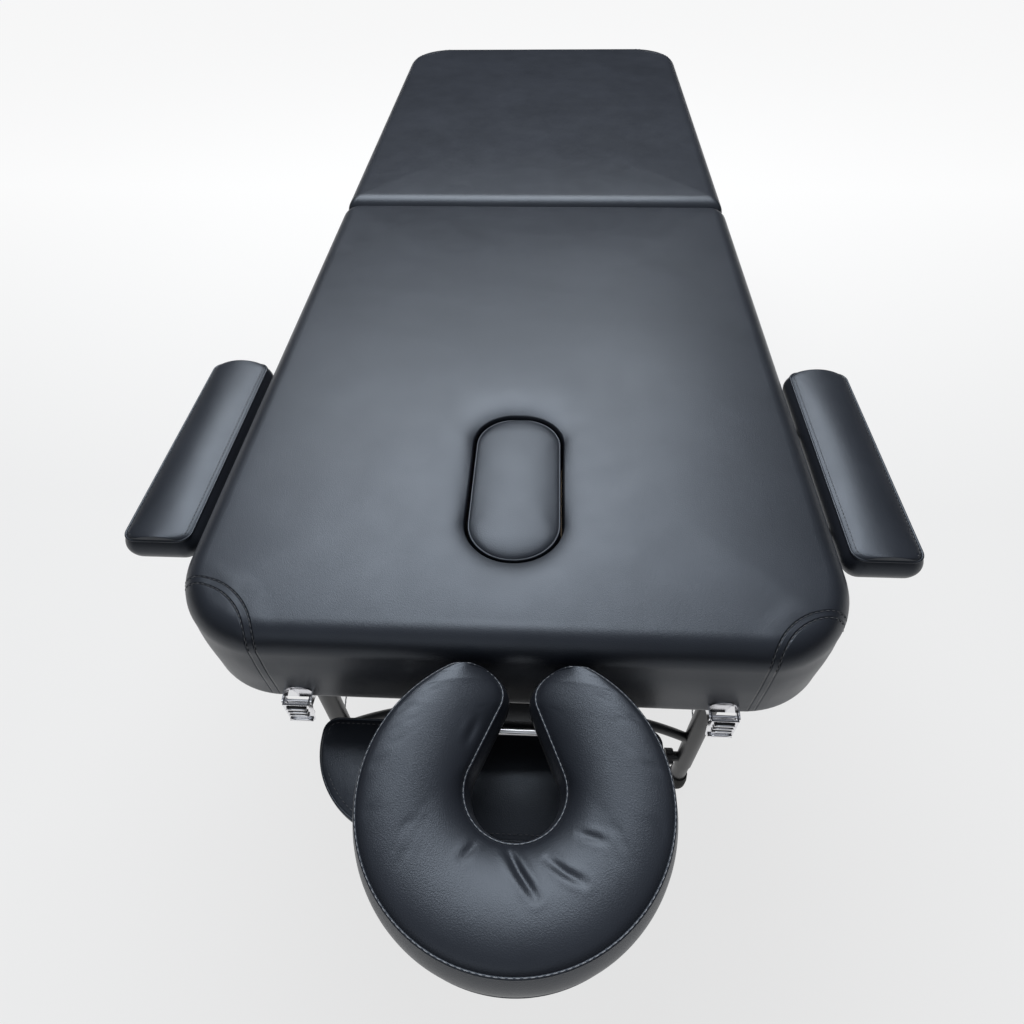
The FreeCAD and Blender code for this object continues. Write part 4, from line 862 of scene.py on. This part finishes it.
def sweep(name, path, section, material, across=None, closed=False, turns=0.0):
    """A piece of one section, its points given as (across, up), carried along a path of
    points and turned as it goes by so many turns a metre."""
    path = np.asarray(path, float)
    if closed:
        along = np.roll(path, -1, axis=0) - np.roll(path, 1, axis=0)
    else:
        along = np.gradient(path, axis=0)
    along /= np.linalg.norm(along, axis=1)[:, None]
    if across is None:
        side = np.cross(along, (0, 0, 1))
    else:
        side = np.broadcast_to(np.asarray(across, float), path.shape)
    side = side / np.linalg.norm(side, axis=1)[:, None]
    up = np.cross(side, along)
    travelled = np.r_[0, np.cumsum(np.linalg.norm(np.diff(path, axis=0), axis=1))]
    loops = []
    for place, s, u, length in zip(path, side, up, travelled):
        turn = 2 * math.pi * turns * length
        a = np.array([p * math.cos(turn) - q * math.sin(turn) for p, q in section])
        b = np.array([p * math.sin(turn) + q * math.cos(turn) for p, q in section])
        loops.append(place + a[:, None] * s + b[:, None] * u)
    if closed:
        return loft(name, loops + loops[:1], material)
    return loft(name, loops, material, close_first=True, close_last=True)


def circle(radius, count=8):
    """The section of a round cord."""
    return [(radius * math.cos(2 * math.pi * i / count), radius * math.sin(2 * math.pi * i / count))
            for i in range(count)]


def pipe(name, line, body, radius=PIPING):
    """Piping along a closed seam, riding on a body."""
    piece = sweep(name, line, circle(radius), vinyl, closed=True)
    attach(piece, body)


x, y = HOLE_CENTRE
plug_runs = halves(hole_outline(PLUG_GAP), (x, y + HOLE_HALF[1]), (x, y - HOLE_HALF[1]), 90)
plug, plug_seam = pad("plug_pad", plug_runs, PLUG_LOW, PLUG_SEAM, 0.0065, columns=18, belly=0.001,
                      draw=0.001, full_width=0.09)
puff(plug, PLUG_LOW, plug_seam, 0.002)
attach(plug, "hole_plug")
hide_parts("breath_hole_plug")
pipe("plug_piping", plug_seam, "hole_plug", 0.0013)

# The side armrests: soft foam on a board in a boxed vinyl cover, with a piped seam round the
# top. Each hangs on two steel pegs beside the head panel.
ARM_SPAN = (-0.652, -0.312)
ARM_SIDES = (0.374, 0.458)
ARM_LOW = 0.5455
ARM_SEAM = 0.5765
for word, sign in (("left", -1), ("right", 1)):
    left, right = sorted(sign * x for x in ARM_SIDES)
    outline = round_rect(left, right, *ARM_SPAN, (0.017,) * 4, (12, 60, 14))
    middle = (left + right) / 2
    runs = halves(outline, (middle, ARM_SPAN[1]), (middle, ARM_SPAN[0]), 110, crowd=0.5)
    arm_pad, seam_line = pad(f"{word}_arm_pad", runs, ARM_LOW, ARM_SEAM, 0.008, columns=18,
                             full_width=0.05)
    puff(arm_pad, ARM_LOW, seam_line, 0.004)
    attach(arm_pad, f"{word}_armrest")
    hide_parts(f"{word}_armrest_pad")
    pipe(f"{word}_arm_piping", seam_line, f"{word}_armrest", 0.0015)
    beside = np.column_stack([pushed(seam_line[:, :2], -0.0045), seam_line[:, 2] + 0.0036])
    sew(f"{word}_arm_thread", [np.vstack([beside, beside[:1]])], f"{word}_armrest",
        Pitch=0.0056, Length=0.004, Radius=0.0004)

# The face cushion: a horseshoe of soft foam in a vinyl cover with a boxed band, sewn in pale
# thread along its outer edge and round the face opening, creased where the sitter's brow rests.
FACE_X = 0.014
FACE_BACK = -0.813
FACE_HUB = -0.9295
FACE_RADIUS = 0.1315
FILLET = 0.02
THROAT = (0.012, -0.84)
FLARE = 0.026
OPENING_Y = -0.922
OPENING_RADIUS = 0.0405
FACE_LOW = 0.5687
FACE_SEAM = 0.6215
INNER_SEAM = 0.6035
LEAN = 0.0035
CREASES = (
    (((0.009, -0.968), (0.02, -0.987), (0.033, -1.005)), 0.0042, 0.003),
    (((0.041, -0.977), (0.055, -0.987), (0.069, -0.994)), 0.0026, 0.0028),
    (((0.066, -0.958), (0.085, -0.964)), 0.0016, 0.0026),
    (((-0.014, -0.966), (-0.024, -0.98)), 0.0014, 0.003),
    (((-0.021, -0.864), (-0.03, -0.888)), 0.0018, 0.0028),
)


def arc(centre, radius, start, end, gap=0.0018):
    """Plan points along an arc between two angles in degrees."""
    count = max(3, int(abs(math.radians(end - start)) * radius / gap))
    turns = np.radians(np.linspace(start, end, count))
    return np.column_stack([centre[0] + radius * np.cos(turns), centre[1] + radius * np.sin(turns)])


def face_outline():
    """The horseshoe's plan, anticlockwise from the middle of its left lobe's back."""
    out = FACE_RADIUS - FILLET
    drop = FACE_BACK - FILLET - FACE_HUB
    side = math.sqrt(out * out - drop * drop)
    lean_turn = math.degrees(math.atan2(drop, side))
    flare_x = THROAT[0] + FLARE
    reach = math.hypot(THROAT[0], THROAT[1] - OPENING_Y)
    tangent = (math.degrees(math.atan2(THROAT[1] - OPENING_Y, THROAT[0]))
               - math.degrees(math.acos(OPENING_RADIUS / reach)))
    right = np.concatenate([
        arc((0, FACE_HUB), FACE_RADIUS, -90, lean_turn),
        arc((side, FACE_BACK - FILLET), FILLET, lean_turn, 90),
        [((side + flare_x) / 2, FACE_BACK)],
        arc((flare_x, FACE_BACK - FLARE), FLARE, 90, 180 + tangent),
        arc((0, OPENING_Y), OPENING_RADIUS, tangent, -90)])
    left = right[::-1] * (-1, 1)
    start = int(np.argmin(np.hypot(*(left - (-(side + flare_x) / 2, FACE_BACK)).T)))
    whole = np.concatenate([left[start:], right[1:], left[1:start]])
    return whole + (FACE_X, 0), (side + flare_x) / 2


def leaned(loop):
    """Draws the top seam back towards the table, most at the front."""
    share = np.clip((FACE_BACK - loop[:, 1]) / 0.253, 0, 1)
    return loop + np.column_stack([np.zeros(len(loop)), LEAN * share ** 2])


def crease(piece, lines, floor_z):
    """Presses soft folds into a pad's top; each line has its depth and its width."""
    mesh = piece.data
    points = np.array([v.co[:] for v in mesh.vertices])
    for line, depth, width in lines:
        line = np.array(line)
        best = np.full(len(points), 1e9)
        share = np.zeros(len(points))
        for i in range(len(line) - 1):
            step = line[i + 1] - line[i]
            f = np.clip(((points[:, :2] - line[i]) @ step) / (step @ step), 0, 1)
            gap = np.linalg.norm(points[:, :2] - line[i] - f[:, None] * step, axis=1)
            nearer = gap < best
            best = np.where(nearer, gap, best)
            share = np.where(nearer, (i + f) / (len(line) - 1), share)
        ends = np.sin(math.pi * np.clip(share, 0.04, 0.96)) ** 0.6
        valley = np.exp(-(best / width) ** 2)
        ridge = np.exp(-((best - 2.1 * width) / (1.1 * width)) ** 2)
        lift = 0.7 * depth * ends * (0.25 * ridge - valley)
        points[:, 2] += np.where(points[:, 2] > floor_z, lift, 0)
    mesh.vertices.foreach_set("co", points.ravel())
    mesh.update()


outline, tip = face_outline()
face_runs = halves(outline, (FACE_X - tip, FACE_BACK), (FACE_X + tip, FACE_BACK), 210)
face, face_seam = pad("face_pad", face_runs, FACE_LOW, FACE_SEAM, 0.0125, columns=26,
                      inner_seam=INNER_SEAM, lean=leaned, full_width=0.075)
puff(face, FACE_LOW, face_seam, 0.0045)
crease(face, CREASES, INNER_SEAM)
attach(face, "face_rest")
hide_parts("face_cushion")
pipe("face_piping", face_seam, "face_rest", 0.0014)
pale_thread = new_material("pale_thread", (0.26, 0.27, 0.29), 0.6, specular=0.4)
emboss(pale_thread, (pattern(pale_thread, 3000, detail=1), 0), 0.0001, 0.5)
raised = np.column_stack([face_seam[:, :2], face_seam[:, 2] + 0.0014])
sew("face_thread", [np.vstack([raised, raised[:1]])], "face_rest", Pitch=0.0052, Length=0.004,
    Radius=0.00032, Thread=pale_thread)
foot_seam = np.column_stack([pushed(np.concatenate([face_runs[0], face_runs[1][::-1][1:-1]]),
                                    -0.0012), np.full(len(face_seam), FACE_LOW + 0.0035)])
pipe("face_lower_piping", foot_seam, "face_rest", 0.0014)

# The arm sling: a thin padded board in vinyl with a bound edge, hung under the face cradle on
# two loops of polyester webbing that are sewn to it with a box and a cross.
SLING_SIDES = (-0.201, 0.165)
SLING_SPAN = (-0.928, -0.808)
SLING_LOW = 0.4642
SLING_SEAM = 0.4742
STRAP_X = 0.117
STUD = (-0.868, 0.505)
STRAP_WIDE = 0.025
STRAP_THICK = 0.0014
BOX_ENDS = (0.0465, 0.0352)
BOX_HALF = 0.01
BOX_TOP = 0.4795
outline = round_rect(*SLING_SIDES, *SLING_SPAN, (0.1, 0.016, 0.016, 0.1), (50, 10, 26))
middle_y = sum(SLING_SPAN) / 2 + 0.02
sling_runs = halves(outline, (SLING_SIDES[0], middle_y), (SLING_SIDES[1], middle_y), 110, 0.6)
sling, sling_seam = pad("sling_board", sling_runs, SLING_LOW, SLING_SEAM, 0.0034, columns=16,
                        belly=0.0006, draw=0.001, full_width=0.05)
puff(sling, SLING_LOW, sling_seam, 0.0006)
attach(sling, "sling")
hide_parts("arm_sling")
pipe("sling_binding", sling_seam, "sling", 0.0014)
inset = np.column_stack([pushed(sling_seam[:, :2], -0.006), sling_seam[:, 2] + 0.0024])
sew("sling_thread", [np.vstack([inset, inset[:1]])], "sling", Pitch=0.0056, Length=0.004,
    Radius=0.0004)

webbing = new_material("polyester_webbing", (0.022, 0.022, 0.024), 0.7, specular=0.25, sheen=0.3)
ribs = pattern(webbing, 160, detail=1, kind="ShaderNodeTexWave", Distortion=1.2)
emboss(webbing, (ribs, 1), 0.0004, 0.7)
fibres = pattern(webbing, 1300, detail=3)
emboss(webbing, (fibres, 0), 0.0003, 0.6)
vary_colour(webbing, (fibres, 0), (0.012, 0.012, 0.013), (0.04, 0.04, 0.043))


def tape_section(wide, thick):
    """The section of a woven tape with softened edges."""
    a, b = wide / 2, thick / 2
    c = b * 0.6
    return [(a, -b + c), (a, b - c), (a - c, b), (-a + c, b), (-a, b - c), (-a, -b + c),
            (-a + c, -b), (a - c, -b)]


def strap_path(x):
    """The loop of one strap: from the board's front, over the stud and back down."""
    y, z = STUD
    round_stud = 0.0051
    foot = 0.0479
    ground = 0.4787
    path = [(y - foot, ground), (y - foot * 0.72, ground), (y - foot * 0.5, ground + 0.0006)]
    for turn in np.radians(np.linspace(196, -16, 15)):
        path.append((y + round_stud * math.cos(turn), z + round_stud * math.sin(turn)))
    path += [(y + foot * 0.5, ground + 0.0006), (y + foot * 0.72, ground), (y + foot, ground)]
    return [(x, p, q) for p, q in path]


tape = tape_section(STRAP_WIDE, STRAP_THICK)
box_lines = []
for sign in (-1, 1):
    strap = sweep(f"sling_strap_{'left' if sign < 0 else 'right'}", strap_path(sign * STRAP_X), tape,
                  webbing, across=(1, 0, 0))
    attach(strap, "sling")
    if sign < 0:
        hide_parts("sling_straps")
    for end in (-1, 1):
        a, b = (STUD[0] + end * reach for reach in BOX_ENDS)
        left, right = sign * STRAP_X - BOX_HALF, sign * STRAP_X + BOX_HALF
        for turns in (((left, a), (right, a), (right, b), (left, b), (left, a)),
                      ((left, a), (right, b)), ((right, a), (left, b))):
            box_lines.append(np.array([(p, q, BOX_TOP) for p, q in turns]))
sew("sling_box_thread", box_lines, "sling", Pitch=0.0026, Length=0.0021, Radius=0.00035)

# The carrying handles: one strap of heavy webbing on the right rail of each panel, its ends
# folded under small nickel plates with two rivets each.
HANDLE_X = 0.3513
HANDLE_FROM_HINGE = 0.3
HANDLE_HALF = 0.115
HANDLE_BOW = 0.008
HANDLE_Z = 0.528
HANDLE_FLAT = 0.024
nickel = new_material("nickel_plate", (0.66, 0.65, 0.62), 0.25, 1.0)
vary_roughness(nickel, (pattern(nickel, 120, detail=3), 0), 0.18, 0.34)


def rivet_head(name, spot, radius, height):
    """A low rivet head on a spot, facing along x."""
    turns = 14
    loops = []
    for i in range(5):
        f = i / 4
        r = radius * math.cos(f * math.pi / 2 * 0.94)
        rise = height * math.sin(f * math.pi / 2 * 0.94)
        loop = []
        for k in range(turns):
            p, q = r * math.cos(2 * math.pi * k / turns), r * math.sin(2 * math.pi * k / turns)
            loop.append((rise, p, q))
        loops.append(np.array(loop) + spot)
    return loft(name, loops, nickel, close_first=True, close_last=True)


for word, sign in (("head", -1), ("foot", 1)):
    centre_y = HINGE_Y + sign * HANDLE_FROM_HINGE
    path = []
    for f in np.linspace(-1, 1, 41):
        out = max(0.0, 1 - (abs(f) * HANDLE_HALF / (HANDLE_HALF - HANDLE_FLAT)) ** 2)
        path.append((HANDLE_X + HANDLE_BOW * out ** 0.8, centre_y + f * HANDLE_HALF, HANDLE_Z))
    handle = sweep(f"{word}_carry_strap", path, tape_section(0.03, 0.0022), webbing, across=(0, 0, 1))
    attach(handle, f"{word}_panel")
    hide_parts(f"{word}_handle")
    for end in (-1, 1):
        y = centre_y + end * (HANDLE_HALF - 0.011)
        plate_path = [(HANDLE_X + 0.0017, y + s, HANDLE_Z) for s in (-0.009, -0.003, 0.003, 0.009)]
        plate = sweep(f"{word}_handle_plate_{end + 1}", plate_path, tape_section(0.032, 0.0012),
                      nickel, across=(0, 0, 1))
        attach(plate, f"{word}_panel")
        for up in (-1, 1):
            rivet = rivet_head(f"{word}_rivet_{end + 1}_{up + 1}",
                               (HANDLE_X + 0.0021, y, HANDLE_Z + up * 0.009), 0.0036, 0.0016)
            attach(rivet, f"{word}_panel")

# The draw latches' dress: a dark nylon insert in each chromed lever, with three rolled bars
# across it for the thumb, and a rolled lip below.
LATCH_X = 0.224
LATCH_FACE = -0.8148
for word, sign in (("left", -1), ("right", 1)):
    x = sign * LATCH_X
    insert_path = [(x, LATCH_FACE, z) for z in (0.492, 0.499, 0.506, 0.5115)]
    insert = sweep(f"{word}_latch_insert", insert_path, tape_section(0.021, 0.0014), nylon,
                   across=(1, 0, 0))
    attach(insert, f"{word}_latch")
    for number, z in enumerate((0.4945, 0.5015, 0.5085)):
        bar = sweep(f"{word}_latch_bar_{number}",
                    [(x + s, LATCH_FACE - 0.0012, z) for s in (-0.0105, -0.004, 0.004, 0.0105)],
                    circle(0.0013, 10), chrome, across=(0, 0, 1))
        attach(bar, f"{word}_latch")
    lip = sweep(f"{word}_latch_lip",
                [(x + s, LATCH_FACE - 0.0004, 0.4835) for s in (-0.0125, -0.005, 0.005, 0.0125)],
                circle(0.0024, 12), chrome, across=(0, 0, 1))
    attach(lip, f"{word}_latch")

# The stay cables: twisted steel rope with a ball at each end, from low on each leg to the hinge rail.
CABLE_ENDS = {"head": (0.27, (-0.6703, 0.181), (0.1067, 0.528)),
              "foot": (0.31, (0.9343, 0.181), (0.1573, 0.528))}
CABLE_RADIUS = 0.0011
BALL_RADIUS = 0.0038
rope = new_material("steel_rope", (0.55, 0.55, 0.56), 0.32, 1.0)
vary_roughness(rope, (pattern(rope, 500, detail=2), 0), 0.25, 0.42)
strand = [(CABLE_RADIUS * (1 + 0.2 * math.cos(3 * t)) * math.cos(t),
           CABLE_RADIUS * (1 + 0.2 * math.cos(3 * t)) * math.sin(t))
          for t in np.linspace(0, 2 * math.pi, 12, endpoint=False)]
for word, (x, low_end, high_end) in CABLE_ENDS.items():
    for side, sign in (("left", -1), ("right", 1)):
        start = np.array([sign * x, *low_end])
        end = np.array([sign * x, *high_end])
        path = [start + (end - start) * f - np.array([0, 0, 0.003 * math.sin(math.pi * f)])
                for f in np.linspace(0, 1, 240)]
        cable = sweep(f"{word}_{side}_stay", path, strand, rope, turns=45)
        balls = []
        for number, spot in enumerate((start, end)):
            rings = [spot + np.array([[BALL_RADIUS * math.sin(a) * math.cos(b),
                                       BALL_RADIUS * math.sin(a) * math.sin(b),
                                       BALL_RADIUS * math.cos(a)]
                                      for b in np.linspace(0, 2 * math.pi, 16, endpoint=False)])
                     for a in np.linspace(0.03, math.pi - 0.03, 11)]
            balls.append(loft(f"{word}_{side}_ball_{number}", rings, steel, close_first=True,
                              close_last=True))
        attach(cable, f"{word}_leg_frame")
        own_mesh(cable)
        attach(balls[0], f"{word}_leg_frame")
        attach(balls[1], f"{word}_panel")
        if sign < 0:
            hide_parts(f"{word}_stay_cables")

# Screws: pan heads in the hinge leaves, six to a leaf, driven up into the hinge rails. Each is
# one head of bright zinc with a cross recess, laid on its hole and turned as it happened to stop.
SCREW_ROWS = {"head": (0.103, 0.117), "foot": (0.161, 0.147)}
SCREW_SPREAD = 0.038
LEAF_CENTRES = (-0.22, 0.0, 0.22)
LEAF_UNDER = 0.5009
SCREW_INPUTS = (("Radius", "NodeSocketFloat", 0.0034), ("Rise", "NodeSocketFloat", 0.0014),
                ("Seed", "NodeSocketInt", 5), ("Metal", "NodeSocketMaterial", None),
                ("Dark", "NodeSocketMaterial", None))
# Painted shade: a near-black material on the slot blocks stands in for the shade inside each cross
# recess, whose real metal is as bright as the head.
recess_painted_shade = new_material("recess_painted_shade", (0.01, 0.01, 0.01), 0.8)
emboss(recess_painted_shade, (pattern(recess_painted_shade, 900), 0), 0.0001, 0.4)


def screw_tool():
    """A node group that puts a cross-recessed pan head on each point that it is given."""
    tool, given, result = new_tool("screws", "Holes", SCREW_INPUTS, "Screws")
    metal = tool.nodes.new("GeometryNodeSetMaterial")
    wire(tool, unit_ball(tool, 16, 10), (metal, 0))
    wire(tool, (given, "Metal"), (metal, "Material"))
    whole = tool.nodes.new("GeometryNodeJoinGeometry")
    wire(tool, (metal, 0), (whole, 0))
    # The two slot blocks of the cross recess take the Dark material, which is painted shade.
    for size in ((1.1, 0.26, 0.3), (0.26, 1.1, 0.3)):
        slot = tool.nodes.new("GeometryNodeMeshCube")
        slot.inputs["Size"].default_value = size
        lower = tool.nodes.new("GeometryNodeTransform")
        lower.inputs["Translation"].default_value = (0, 0, -0.83)
        wire(tool, (slot, 0), (lower, 0))
        dark = tool.nodes.new("GeometryNodeSetMaterial")
        wire(tool, (lower, 0), (dark, 0))
        wire(tool, (given, "Dark"), (dark, "Material"))
        wire(tool, (dark, 0), (whole, 0))
    turn = tool.nodes.new("ShaderNodeCombineXYZ")
    wire(tool, chance_up_to(tool, given, math.pi), (turn, "Z"))
    radius = (given, "Radius")
    laid = set_out(tool, (given, "Holes"), (whole, 0), (turn, 0), (radius, radius, (given, "Rise")))
    wire(tool, laid, (result, 0))
    return tool


screws = screw_tool()
for word, rows in SCREW_ROWS.items():
    holes = [(centre + offset * (1 - 0.25 * j), y, LEAF_UNDER) for centre in LEAF_CENTRES
             for offset in (-SCREW_SPREAD, 0.0, SCREW_SPREAD) for j, y in enumerate(rows)]
    baked(f"{word}_hinge_screws", holes, [], screws, f"{word}_panel", Metal=nickel,
          Dark=recess_painted_shade)
